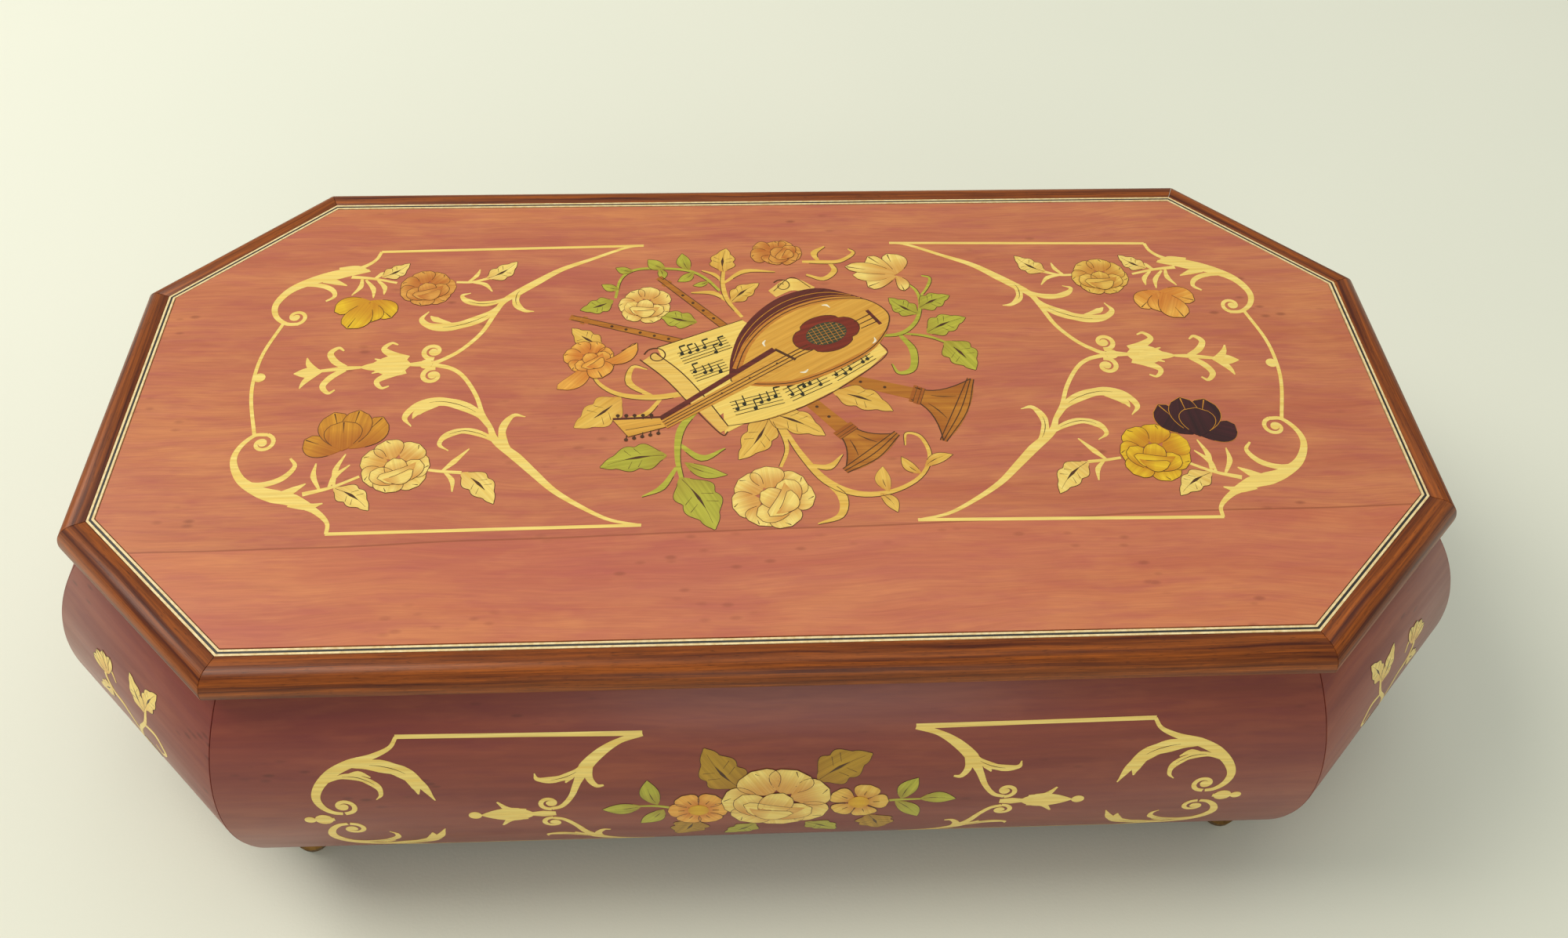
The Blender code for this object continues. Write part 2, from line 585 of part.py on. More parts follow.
bed_left, bed_right = CYLINDER_X - BEDPLATE_LEFT, CYLINDER_X + BEDPLATE_RIGHT
bedplate = add_object("bedplate", box_mesh("bedplate", (bed_left, -BEDPLATE_FRONT, BED_BOTTOM),
                                           (bed_right, BEDPLATE_BACK, BED_TOP)), CASTING, case)
lug_half = 5.0 * MM
join(bedplate, box_mesh("stop_lug", (FLY_X - lug_half, STOP_PIVOT_Y - 3 * MM, BED_BOTTOM),
                        (FLY_X + lug_half, -BEDPLATE_FRONT + MM, BED_TOP)))
ear_inner, ear_outer = 2.2 * MM, 3.7 * MM
for end, low_x, high_x in (("a", FLY_X - ear_outer, FLY_X - ear_inner),
                           ("b", FLY_X + ear_inner, FLY_X + ear_outer)):
    join(bedplate, box_mesh("stop_ear_" + end, (low_x, STOP_PIVOT_Y - 2 * MM, BED_TOP - MM),
                            (high_x, STOP_PIVOT_Y + 2 * MM, STOP_Z + 2 * MM)))
trunnion_radius = 0.8 * MM
cut(bedplate, rod_mesh("stop_ear_bore", trunnion_radius + GAP,
                       (FLY_X - 2 * ear_outer, STOP_PIVOT_Y, STOP_Z),
                       (FLY_X + 2 * ear_outer, STOP_PIVOT_Y, STOP_Z), 12))

comb_tip = CYLINDER_X + CYLINDER_RADIUS + PIN_HEIGHT
comb_left = comb_tip + COMB_REACH
comb_right = comb_left + COMB_WIDTH
comb_back = CYLINDER_BACK - MM
comb_front = CYLINDER_FRONT + MM
comb_underside = AXIS_Z - 1.0 * MM
comb_top = AXIS_Z + 2.0 * MM
join(bedplate, box_mesh("comb_riser", (comb_left - MM, comb_front - MM, BED_TOP - MM),
                        (comb_right + MM, comb_back + MM, comb_underside - GAP)))
cut(bedplate, rod_mesh("winding_bore", WINDING_RADIUS + GAP, (CYLINDER_X, BARREL_Y, BED_BOTTOM - MM),
                       (CYLINDER_X, BARREL_Y, BED_TOP + MM)))

screw_margin = 5.0 * MM              # bedplate screws in from its edges
bed_screws = ((bed_left + screw_margin, BEDPLATE_BACK - screw_margin),
              (bed_right - screw_margin - MM, BEDPLATE_BACK - screw_margin),
              (bed_right - screw_margin - MM, screw_margin - BEDPLATE_FRONT))
bed_shank = 1.6 * MM
for i, (x, y) in enumerate(bed_screws):
    screw(f"movement_screw_{i + 1}", x, y, BASE_UNDERSIDE, 3.2 * MM, bed_shank, 8.0 * MM, -1)
    screw_hole(base_board, f"base_screw_hole_{i + 1}", x, y, BASE_UNDERSIDE - MM, BASE_TOP + MM, bed_shank)
    screw_hole(bedplate, f"bed_screw_hole_{i + 1}", x, y, BED_BOTTOM - MM, BED_TOP + MM, bed_shank)


def comb_outline():
    """Steel comb: long bass teeth at the front, short treble teeth at the back."""
    pitch = (comb_back - comb_front) / TOOTH_COUNT
    slot = 0.28 * pitch
    points = [(comb_right, comb_front)]
    points.append((comb_right, comb_back))
    for i in range(TOOTH_COUNT):
        high = comb_back - i * pitch - slot / 2
        low = comb_back - (i + 1) * pitch + slot / 2
        root = comb_left - 3.5 * MM * (1 - i / TOOTH_COUNT)
        points += [(root, high), (comb_tip, high), (comb_tip, low), (root, low)]
    return points


comb_thickness = 0.8 * MM
comb_place = Matrix.Translation((0, 0, AXIS_Z))
comb = add_object("comb", outline_mesh("comb", [comb_outline()], comb_thickness, comb_place), STEEL, case)
join(comb, box_mesh("comb_heel", (comb_left, comb_front + 0.1 * MM, comb_underside),
                    (comb_right - 0.1 * MM, comb_back - 0.1 * MM, comb_top)))
comb_shank = 1.2 * MM
comb_screw_x = comb_left + COMB_WIDTH / 2
for i, y in enumerate((comb_back - 6 * MM, comb_front + 6 * MM)):
    screw(f"comb_screw_{i + 1}", comb_screw_x, y, comb_top, 2.6 * MM, comb_shank, 8.0 * MM)
    screw_hole(comb, f"comb_hole_{i + 1}", comb_screw_x, y, comb_underside - MM, comb_top + MM, comb_shank)
    screw_hole(bedplate, f"riser_hole_{i + 1}", comb_screw_x, y, comb_top - 11 * MM, AXIS_Z, comb_shank)


# ---------------------------------------------------------------- movement: cylinder

tube_bore = CYLINDER_RADIUS - CYLINDER_WALL
turned("pin_cylinder", [(tube_bore, CYLINDER_BACK), (CYLINDER_RADIUS, CYLINDER_BACK),
                        (CYLINDER_RADIUS, CYLINDER_FRONT), (tube_bore, CYLINDER_FRONT),
                        (tube_bore, CYLINDER_BACK)],
       BRASS, cylinder, (CYLINDER_X, 0, AXIS_Z), 40, True)

cap_radius = tube_bore - GAP
cap = 2.0 * MM
pinion_middle = BARREL_Y - CROWN_RADIUS
arbor_back = pinion_middle + 2.4 * MM
arbor_front = -43.6 * MM
arbor_profile = [(0, arbor_back), (ARBOR_RADIUS, arbor_back), (ARBOR_RADIUS, CYLINDER_BACK),
                 (cap_radius, CYLINDER_BACK), (cap_radius, CYLINDER_BACK - cap),
                 (ARBOR_RADIUS, CYLINDER_BACK - cap),
                 (ARBOR_RADIUS, CYLINDER_FRONT + cap), (cap_radius, CYLINDER_FRONT + cap),
                 (cap_radius, CYLINDER_FRONT), (ARBOR_RADIUS, CYLINDER_FRONT), (ARBOR_RADIUS, arbor_front),
                 (0, arbor_front)]
cylinder_arbor = turned("cylinder_arbor", arbor_profile, STEEL, cylinder, (CYLINDER_X, 0, AXIS_Z), 20, True)
pinion_face = 2.4 * MM
pinion_outline = gear_outline(PINION_TEETH, PINION_RADIUS - DRIVE_DEDENDUM, PINION_RADIUS + DRIVE_ADDENDUM,
                              math.radians(-90), 0.5)
pinion_place = Matrix.Translation((CYLINDER_X, 0, AXIS_Z)) @ upright(pinion_middle)
join(cylinder_arbor, outline_mesh("drive_pinion", [pinion_outline], pinion_face, pinion_place))

wheel_middle = -36.2 * MM
wheel_radius = TRAIN_WHEEL_TEETH * TRAIN_MODULE / 2
wheel_face = 1.6 * MM
wheel_outline = gear_outline(TRAIN_WHEEL_TEETH, wheel_radius - TRAIN_DEDENDUM, wheel_radius + TRAIN_ADDENDUM,
                             TRAIN_ANGLE, 0.5)
wheel_mesh = outline_mesh("cylinder_wheel", [wheel_outline, circle(ARBOR_RADIUS + GAP)], wheel_face,
                          upright(wheel_middle))
add_object("cylinder_wheel", wheel_mesh, BRASS, cylinder, (CYLINDER_X, 0, AXIS_Z))

bracket_front = CYLINDER_BACK + 0.9 * MM
bracket_thickness = 2.4 * MM
bracket_half = 7.0 * MM
bracket_crown = 4.5 * MM             # bracket's top above the arbor
bracket_left, bracket_right = CYLINDER_X - bracket_half, CYLINDER_X + bracket_half
bracket_outline = [(bracket_left, BED_TOP + GAP), (bracket_right, BED_TOP + GAP), (bracket_right, AXIS_Z),
                   (CYLINDER_X + 4 * MM, AXIS_Z + bracket_crown),
                   (CYLINDER_X - 4 * MM, AXIS_Z + bracket_crown), (bracket_left, AXIS_Z)]
bracket_hole = circle(ARBOR_RADIUS + GAP, CYLINDER_X, AXIS_Z)
add_object("cylinder_bracket", outline_mesh("cylinder_bracket", [bracket_outline, bracket_hole],
                                            bracket_thickness, upright(bracket_front + bracket_thickness / 2)),
           CASTING, case)


# ---------------------------------------------------------------- movement: spring barrel and winding

def spring_barrel():
    """An upturned cup with a ring of crown teeth on top; the mainspring lies inside."""
    steps = 2 * CROWN_TEETH
    inner = BARREL_RADIUS - BARREL_WALL
    bottom = BED_TOP + 0.7 * MM
    crown = (CROWN_RADIUS - 1.5 * MM, CROWN_RADIUS + 1.5 * MM)
    profile = [(WINDING_RADIUS + GAP, CROWN_ROOT_Z), (crown[0], CROWN_ROOT_Z), (crown[1], CROWN_ROOT_Z),
               (BARREL_RADIUS, CROWN_ROOT_Z), (BARREL_RADIUS, bottom), (inner, bottom),
               (inner, CROWN_ROOT_Z - BARREL_WALL), (WINDING_RADIUS + GAP, CROWN_ROOT_Z - BARREL_WALL)]
    bm = bmesh.new()
    # Half a step of turn puts a gap between two teeth under the pinion, at -Y.
    start = math.radians(-90) + math.pi / steps
    verts = [bm.verts.new((r * math.cos(start), r * math.sin(start), z)) for r, z in profile]
    edges = [bm.edges.new((verts[i], verts[(i + 1) % len(verts)])) for i in range(len(verts))]
    bmesh.ops.spin(bm, geom=verts + edges, cent=(0, 0, 0), axis=(0, 0, 1), angle=2 * math.pi, steps=steps,
                   use_merge=True)
    bmesh.ops.remove_doubles(bm, verts=bm.verts, dist=0.00001)
    bmesh.ops.recalc_face_normals(bm, faces=bm.faces)
    ring = [f for f in bm.faces if f.normal.z > 0.9
            and crown[0] < f.calc_center_median().xy.length < crown[1]]
    middles = {f: f.calc_center_median() for f in ring}
    ring.sort(key=lambda f: (math.atan2(middles[f].y, middles[f].x) - start) % (2 * math.pi))
    teeth = bmesh.ops.extrude_discrete_faces(bm, faces=ring[0::2])["faces"]
    for tooth in teeth:
        middle = tooth.calc_center_median()
        across = Vector((-middle.y, middle.x, 0)).normalized()
        for vert in tooth.verts:
            shift = (vert.co - middle).dot(across)
            vert.co += Vector((0, 0, CROWN_TIP_Z - CROWN_ROOT_Z)) - across * shift * 0.55
    return mesh_from(bm, "spring_barrel")


add_object("spring_barrel", spring_barrel(), BRASS, barrel, (CYLINDER_X, BARREL_Y, 0))


def mainspring():
    """A flat steel spring coiled from the arbor out to the barrel's wall."""
    turns = 4
    per_turn = 12
    inner = WINDING_RADIUS + 2 * GAP
    outer = BARREL_RADIUS - BARREL_WALL - 3 * GAP
    thickness = 0.35 * MM
    count = turns * per_turn
    left, right = [], []
    for i in range(count + 1):
        angle = 2 * math.pi * i / per_turn
        radius = inner + (outer - inner) * i / count
        left.append((radius * math.cos(angle), radius * math.sin(angle)))
        right.append(((radius + thickness) * math.cos(angle), (radius + thickness) * math.sin(angle)))
    low = BED_TOP + 2 * MM
    high = CROWN_ROOT_Z - BARREL_WALL - 2 * GAP
    return plate_mesh("mainspring", right + left[::-1], low, high)


add_object("mainspring", mainspring(), STEEL, barrel, (CYLINDER_X, BARREL_Y, 0))

bridge_underside = CROWN_TIP_Z + 1.4 * MM
bridge_top = bridge_underside + 2.0 * MM
bridge_half = 4.0 * MM
bridge_leg = 2.5 * MM
bridge_reach = BARREL_RADIUS + 1.8 * MM + bridge_leg
leg_inner = bridge_reach - bridge_leg
half_bridge = [(bridge_reach, bridge_top), (bridge_reach, BED_TOP + GAP), (leg_inner, BED_TOP + GAP),
               (leg_inner, bridge_underside)]
bridge_outline = half_bridge + [(-x, z) for x, z in reversed(half_bridge)]
bridge_place = Matrix.Translation((CYLINDER_X, 0, 0)) @ upright(BARREL_Y)
bridge_mesh = outline_mesh("barrel_bridge", [bridge_outline], 2 * bridge_half, bridge_place)
bridge = add_object("barrel_bridge", bridge_mesh, CASTING, case)
cut(bridge, rod_mesh("bridge_bore", ARBOR_RADIUS + GAP, (CYLINDER_X, BARREL_Y, bridge_underside - MM),
                     (CYLINDER_X, BARREL_Y, bridge_top + MM)))

key_middle = BASE_UNDERSIDE - 1.7 * MM - KEY_LOBE
key_top = BASE_UNDERSIDE - 0.8 * MM
winding_bottom = key_middle - 0.8 * MM
turned("winding_arbor", [(0, bridge_top), (ARBOR_RADIUS, bridge_top), (ARBOR_RADIUS, CROWN_ROOT_Z + GAP),
                         (WINDING_RADIUS, CROWN_ROOT_Z + GAP), (WINDING_RADIUS, winding_bottom),
                         (0, winding_bottom)],
       STEEL, winding, (CYLINDER_X, BARREL_Y, 0), 20)

key_hub = 3.7 * MM
key_thickness = 2.2 * MM
key = turned("winding_key", [(0, key_top), (key_hub, key_top), (key_hub, key_middle - 2.4 * MM),
                             (0.6 * key_hub, key_middle - 3.6 * MM), (0, key_middle - 3.6 * MM)],
             AGED_BRASS, winding, (CYLINDER_X, BARREL_Y, 0), 24)
join(key, box_mesh("key_bar", (CYLINDER_X - KEY_SPAN, BARREL_Y - key_thickness / 2, key_middle - 2 * MM),
                   (CYLINDER_X + KEY_SPAN, BARREL_Y + key_thickness / 2, key_middle + 2 * MM)))
for end, sense in (("a", -1), ("b", 1)):
    lobe_x = CYLINDER_X + sense * KEY_SPAN
    join(key, rod_mesh("key_lobe_" + end, KEY_LOBE, (lobe_x, BARREL_Y - key_thickness / 2, key_middle),
                       (lobe_x, BARREL_Y + key_thickness / 2, key_middle), 24))
    eye_x = lobe_x + sense * 0.4 * MM
    cut(key, rod_mesh("key_eye_" + end, 0.42 * KEY_LOBE, (eye_x, BARREL_Y - key_thickness, key_middle),
                      (eye_x, BARREL_Y + key_thickness, key_middle), 16))
cut(key, rod_mesh("key_socket", WINDING_RADIUS + GAP, (CYLINDER_X, BARREL_Y, winding_bottom - GAP),
                  (CYLINDER_X, BARREL_Y, key_top + MM)))


# ---------------------------------------------------------------- movement: governor

train_pinion_radius = TRAIN_PINION_TEETH * TRAIN_MODULE / 2
train_arbor = 0.8 * MM
train_back = -32.6 * MM
train_front = -43.6 * MM
train_profile = [(0, train_back), (train_arbor, train_back), (train_arbor, train_front), (0, train_front)]
train_profile = [(r, y - FLY_Y) for r, y in train_profile]
governor_wheel = turned("governor_wheel", train_profile, BRASS, governor,
                        (GOVERNOR_X, FLY_Y, GOVERNOR_Z), 16, True)
opposite = TRAIN_ANGLE + math.pi + math.pi / TRAIN_PINION_TEETH
small_outline = gear_outline(TRAIN_PINION_TEETH, train_pinion_radius - TRAIN_DEDENDUM,
                             train_pinion_radius + TRAIN_ADDENDUM, opposite, 0.5)
train_place = Matrix.Translation((GOVERNOR_X, 0, GOVERNOR_Z))
join(governor_wheel, outline_mesh("train_pinion", [small_outline], 2.0 * MM,
                                  train_place @ upright(wheel_middle)))
worm_wheel_outline = gear_outline(WORM_WHEEL_TEETH, WORM_WHEEL_RADIUS - WORM_DEDENDUM,
                                  WORM_WHEEL_RADIUS + WORM_ADDENDUM, math.pi, 0.42)
join(governor_wheel, outline_mesh("worm_wheel", [worm_wheel_outline], 1.4 * MM,
                                  train_place @ upright(FLY_Y)))


def worm():
    """A single-start worm: a round bar whose radius rises and falls along a helix."""
    lead = math.pi * WORM_MODULE
    length = 5 * lead
    around, rows = 12, 30
    root, tip = WORM_RADIUS - 0.55 * MM, WORM_RADIUS + WORM_ADDENDUM
    bm = bmesh.new()
    bmesh.ops.create_cone(bm, cap_ends=True, segments=around, radius1=root, radius2=root, depth=length)
    upright_edges = [e for e in bm.edges if abs(e.verts[0].co.z - e.verts[1].co.z) > length / 2]
    bmesh.ops.subdivide_edges(bm, edges=upright_edges, cuts=rows - 1, use_grid_fill=True)
    for vert in bm.verts:
        if abs(vert.co.z) > length / 2 - 0.1 * MM:
            continue
        phase = (vert.co.z / lead - math.atan2(vert.co.y, vert.co.x) / (2 * math.pi)) % 1.0
        crest = max(0.0, 1 - abs(phase - 0.5) / 0.26)
        fade = min(1.0, (length / 2 - abs(vert.co.z)) / (0.4 * lead))
        radius = root + (tip - root) * min(1.0, 1.6 * crest) * fade
        vert.co.xy = vert.co.xy.normalized() * radius
    bmesh.ops.triangulate(bm, faces=[f for f in bm.faces if len(f.verts) == 4])
    return mesh_from(bm, "worm")


fan_low = STOP_Z - 0.2 * MM
fan_high = fan_low + 7.2 * MM
arm_low = fan_high + 1.5 * MM
arm_high = arm_low + 1.5 * MM
fly_shaft = 0.6 * MM
frame_floor = BED_TOP + GAP
fan_hub = 1.3 * MM
hub_high, hub_low = fan_high + 0.6 * MM, fan_low - 0.6 * MM
pivot_high, pivot_low = arm_high - 0.4 * MM, frame_floor + 0.4 * MM
fly_profile = [(0, pivot_high), (fly_shaft, pivot_high), (fly_shaft, hub_high), (fan_hub, hub_high),
               (fan_hub, hub_low), (fly_shaft, hub_low), (fly_shaft, pivot_low), (0, pivot_low)]
fly_profile = [(r, z - GOVERNOR_Z) for r, z in fly_profile]
fly_piece = turned("governor_fly", fly_profile, BRASS, fly, (FLY_X, FLY_Y, GOVERNOR_Z), 16)
worm_mesh = worm()
worm_mesh.transform(Matrix.Translation((FLY_X, FLY_Y, GOVERNOR_Z)))
join(fly_piece, worm_mesh)
join(fly_piece, box_mesh("fan", (FLY_X - FAN_RADIUS, FLY_Y - 0.3 * MM, fan_low),
                         (FLY_X + FAN_RADIUS, FLY_Y + 0.3 * MM, fan_high)))

floor_thickness = 2.0 * MM
post_left = FLY_X - 8.2 * MM
back_plate = (-44.0 * MM, -42.0 * MM)
frame_mesh = box_mesh("governor_frame", (post_left, back_plate[0], frame_floor),
                      (GOVERNOR_X + 3.6 * MM, train_back, frame_floor + floor_thickness))
frame = add_object("governor_frame", frame_mesh, CASTING, case)
join(frame, box_mesh("frame_back", (GOVERNOR_X - 2.6 * MM, back_plate[0], frame_floor),
                     (CYLINDER_X + 5 * MM, back_plate[1], AXIS_Z + 4 * MM)))
join(frame, box_mesh("frame_front", (GOVERNOR_X - 2.8 * MM, -34.2 * MM, frame_floor + MM),
                     (GOVERNOR_X + 1.8 * MM, train_back, GOVERNOR_Z + 2.2 * MM)))
join(frame, box_mesh("frame_post", (post_left, FLY_Y - 2 * MM, frame_floor + MM),
                     (post_left + 1.5 * MM, FLY_Y + 2 * MM, arm_high)))
join(frame, box_mesh("frame_arm", (post_left + 0.5 * MM, FLY_Y - 2 * MM + 0.1 * MM, arm_low),
                     (FLY_X + 2 * MM, FLY_Y + 2 * MM - 0.1 * MM, arm_high)))
cut(frame, rod_mesh("fly_pivots", fly_shaft + GAP, (FLY_X, FLY_Y, frame_floor - MM),
                    (FLY_X, FLY_Y, arm_high + MM), 12))
cut(frame, rod_mesh("train_pivots", train_arbor + GAP, (GOVERNOR_X, back_plate[0] - MM, GOVERNOR_Z),
                    (GOVERNOR_X, train_back + MM, GOVERNOR_Z), 12))
cut(frame, rod_mesh("arbor_pivot", ARBOR_RADIUS + GAP, (CYLINDER_X, back_plate[0] - MM, AXIS_Z),
                    (CYLINDER_X, back_plate[1] + MM, AXIS_Z), 16))


# ---------------------------------------------------------------- movement: stop work

lever_half = 0.75 * MM
lever_width = 1.5 * MM
finger_end = FLY_Y - FAN_RADIUS - 1.3 * GAP
lever_mesh = box_mesh("stop_lever", (-lever_width, -STOP_ARM - MM, -lever_half),
                      (lever_width, finger_end - STOP_PIVOT_Y, lever_half))
lever = add_object("stop_lever", lever_mesh, STEEL, stop_lever, (FLY_X, STOP_PIVOT_Y, STOP_Z))
join(lever, rod_mesh("trunnions", trunnion_radius, (FLY_X - ear_outer + GAP, STOP_PIVOT_Y, STOP_Z),
                     (FLY_X + ear_outer - GAP, STOP_PIVOT_Y, STOP_Z), 12))
stop_top = LID_UNDERSIDE - 2 * GAP - LINING_BOARD
stop_bottom = STOP_Z + lever_half + GAP
turned("stop_pin", [(0, stop_top), (0.6 * STOP_PIN_RADIUS, stop_top),
                    (STOP_PIN_RADIUS, stop_top - 0.5 * MM), (STOP_PIN_RADIUS, stop_bottom), (0, stop_bottom)],
       STEEL, stop_pin, (FLY_X, STOP_PIN_Y, 0), 16)

for piece in parts.objects:
    if piece.type == "MESH":
        piece.data.shade_smooth()
        piece.data.set_sharp_from_angle(angle=math.radians(30))
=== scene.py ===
# %% [markdown]
# # A wind up music box with a marquetry lid
#
# The box is an octagon with bulging sides, a hinged lid and a small cylinder movement inside. Its frame, the
# moving CAD assembly, already stands on the floor at its real size. This file gives it what the eye
# looks for: curved veneered walls, a moulded lid edge, thin cut pieces of veneer laid as flowers, scrolls
# and a mandolin, velvet inside, and finishes of wood, brass and steel.

# %% Load the frame
import math
import random

import bpy
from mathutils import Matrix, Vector


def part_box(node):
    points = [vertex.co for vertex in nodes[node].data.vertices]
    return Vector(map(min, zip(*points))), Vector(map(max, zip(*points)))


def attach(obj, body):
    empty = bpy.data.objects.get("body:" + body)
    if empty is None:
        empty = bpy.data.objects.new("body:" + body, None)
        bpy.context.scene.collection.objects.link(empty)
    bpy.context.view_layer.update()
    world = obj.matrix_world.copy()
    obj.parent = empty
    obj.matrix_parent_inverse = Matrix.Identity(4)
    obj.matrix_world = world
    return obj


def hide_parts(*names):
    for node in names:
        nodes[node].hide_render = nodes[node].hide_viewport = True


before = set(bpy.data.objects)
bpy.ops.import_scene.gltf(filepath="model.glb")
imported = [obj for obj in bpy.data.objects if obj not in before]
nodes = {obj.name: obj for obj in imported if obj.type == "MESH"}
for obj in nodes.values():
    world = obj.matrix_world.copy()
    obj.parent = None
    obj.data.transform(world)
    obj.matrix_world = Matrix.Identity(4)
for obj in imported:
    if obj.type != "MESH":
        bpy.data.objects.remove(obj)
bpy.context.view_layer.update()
MM = 0.001

# %% Sizes taken from the frame
EDGE_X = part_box("lid_moulding_right")[1].x               # half length and half width at the lid's edge
EDGE_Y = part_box("lid_moulding_back")[1].y
LID_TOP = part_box("lid_veneer")[1].z
LID_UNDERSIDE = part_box("lid_moulding_front")[0].z
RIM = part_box("panel_front")[1].z
WALL_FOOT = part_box("panel_front")[0].z
BULGE = -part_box("panel_front")[0].y - EDGE_Y             # widest point of the wall beyond the lid's edge
OFFSET_SHARE = 2 - math.sqrt(2)                          # growth of a corner's cut for each unit of offset
CORNER = EDGE_X + BULGE * (1 - OFFSET_SHARE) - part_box("panel_front")[1].x
RIM_INSET = 3.5 * MM
BULGE_LEVEL = 38.1 * MM
BULGE_RADIUS = ((RIM - BULGE_LEVEL) ** 2 + (BULGE + RIM_INSET) ** 2) / (2 * (BULGE + RIM_INSET))
WALL_INNER = 10.5 * MM                                   # inner face of the walls in from the lid's edge
STRING_OUTER = 6.65 * MM                                 # outer edge of the stringing in from the lid's edge
SIDES = ("front", "front_right", "right", "back_right", "back", "back_left", "left", "front_left")
print("lid", round(2000 * EDGE_X, 1), "x", round(2000 * EDGE_Y, 1), "mm, corner", round(1000 * CORNER, 1),
      "bulge", round(1000 * BULGE, 1), "radius", round(1000 * BULGE_RADIUS, 1))

# %% [markdown]
# ## Camera, floor and light
#
# A small lacquered object is shown best on a pale sweep under one large soft light, with a paler fill. The
# camera stands in front of the box and looks down on its lid, with a short lens close by, so that the
# front wall reads as strongly as the lid.

# %% Camera
scene = bpy.context.scene
camera_data = bpy.data.cameras.new("view")
camera_data.lens = 31.52
camera_data.sensor_width = 36.0
camera = bpy.data.objects.new("view", camera_data)
camera.location = (-0.00873, -0.2210, 0.30897)
camera.rotation_euler = [math.radians(a) for a in (40.63, -1.065, -2.254)]
scene.collection.objects.link(camera)
scene.camera = camera


# %% Helpers for nodes
def node(tree, kind, values=None, **settings):
    """Add a node. A value that is a socket is linked to the input, and any other is set on it."""
    made = tree.nodes.new(kind)
    for key, value in settings.items():
        setattr(made, key, value)
    for key, value in (values or {}).items():
        if isinstance(value, bpy.types.NodeSocket):
            tree.links.new(value, made.inputs[key])
        else:
            made.inputs[key].default_value = value
    return made


def mixed(tree, share, first, second):
    """Mix two colours by a share from 0 to 1 and give the colour socket."""
    made = node(tree, "ShaderNodeMix", {0: share, 6: first, 7: second}, data_type="RGBA")
    return made.outputs[2]


def spread(tree, value, low, high, out_low=0.0, out_high=1.0):
    """Map a value's range to another, kept inside it."""
    made = node(tree, "ShaderNodeMapRange", {"Value": value, "From Min": low, "From Max": high,
                                             "To Min": out_low, "To Max": out_high})
    return made.outputs["Result"]


def noise(tree, place, size, detail=3.0, roughness=0.5):
    """Noise over a place, with one size in 1/m or one for each axis."""
    sizes = size if isinstance(size, tuple) else (size, size, size)
    scaled = node(tree, "ShaderNodeMapping", {"Vector": place, "Scale": sizes}).outputs["Vector"]
    made = node(tree, "ShaderNodeTexNoise", {"Vector": scaled, "Scale": 1.0, "Detail": detail,
                                             "Roughness": roughness})
    return made.outputs["Fac"]


def new_group(name, inputs, outputs):
    """An empty shader node group. Inputs and outputs are (name, kind, default) in order."""
    tree = bpy.data.node_groups.new(name, "ShaderNodeTree")
    for title, kind, default in inputs:
        socket = tree.interface.new_socket(title, in_out="INPUT", socket_type="NodeSocket" + kind)
        if default is not None:
            socket.default_value = default
    for title, kind in outputs:
        tree.interface.new_socket(title, in_out="OUTPUT", socket_type="NodeSocket" + kind)
    return tree, tree.nodes.new("NodeGroupInput"), tree.nodes.new("NodeGroupOutput")


def new_material(name, **constants):
    """A material with its own Principled BSDF; constants are set on the shader's sockets."""
    material = bpy.data.materials.new(name)
    material.use_nodes = True
    tree = material.node_tree
    shader = tree.nodes["Principled BSDF"]
    for title, value in constants.items():
        shader.inputs[title.replace("_", " ")].default_value = value
    return material, tree, shader


def color(red, green, blue):
    """A colour given as it is seen on a screen, 0 to 255, turned to the linear one that nodes take."""
    return tuple(((c / 255 + 0.055) / 1.055) ** 2.4 if c > 10 else c / 255 / 12.92
                 for c in (red, green, blue)) + (1.0,)


# %% Floor and light
def pale_floor():
    """A wide sheet of white card with a faint tooth."""
    bpy.ops.object.select_all(action="DESELECT")
    bpy.ops.mesh.primitive_plane_add(size=6.0, location=(0, 0, 0))
    floor = bpy.context.object
    floor.name = "floor"
    material, tree, shader = new_material("pale_card", Roughness=0.85)
    place = node(tree, "ShaderNodeTexCoord").outputs["Object"]
    cloud = noise(tree, place, 6.0)
    tooth = noise(tree, place, 1400.0, 2.0)
    tint = mixed(tree, cloud, color(227, 230, 218), color(233, 234, 222))
    bump = node(tree, "ShaderNodeBump", {"Height": tooth, "Strength": 0.12, "Distance": 0.0002})
    tree.links.new(tint, shader.inputs["Base Color"])
    tree.links.new(bump.outputs["Normal"], shader.inputs["Normal"])
    floor.data.materials.append(material)
    return floor


def soft_light(name, place, size, power, tint):
    """A large square light that looks at the middle of the box."""
    data = bpy.data.lights.new(name, "AREA")
    data.size = size
    data.energy = power
    data.color = tint
    light = bpy.data.objects.new(name, data)
    light.location = place
    light.rotation_euler = (Vector((0, 0, 0.04)) - Vector(place)).to_track_quat("-Z", "Y").to_euler()
    scene.collection.objects.link(light)


floor = pale_floor()
soft_light("window", (-1.0, 0.30, 1.25), 0.9, 16.0, (1.0, 0.94, 0.84))
soft_light("front_fill", (0.2, -2.6, 0.9), 1.6, 15.0, (1.0, 0.96, 0.88))
soft_light("overhead", (0.15, 0.30, 1.5), 1.2, 4.0, (1.0, 0.97, 0.90))
world = bpy.data.worlds.new("room")
world.use_nodes = True
world.node_tree.nodes["Background"].inputs["Color"].default_value = (0.95, 1.0, 0.91, 1.0)
world.node_tree.nodes["Background"].inputs["Strength"].default_value = 0.43
scene.world = world
scene.view_settings.view_transform = "Standard"

# %% [markdown]
# ## Wood
#
# The box is veneered in pale maple dyed a dusty rose, and its lid is edged in mahogany. Both are wood, so
# both have long streaks that wander along the grain, a finer fibre, and short pores. One node group makes
# these three from a place whose first axis runs along the grain. Each finish takes what it needs from it.


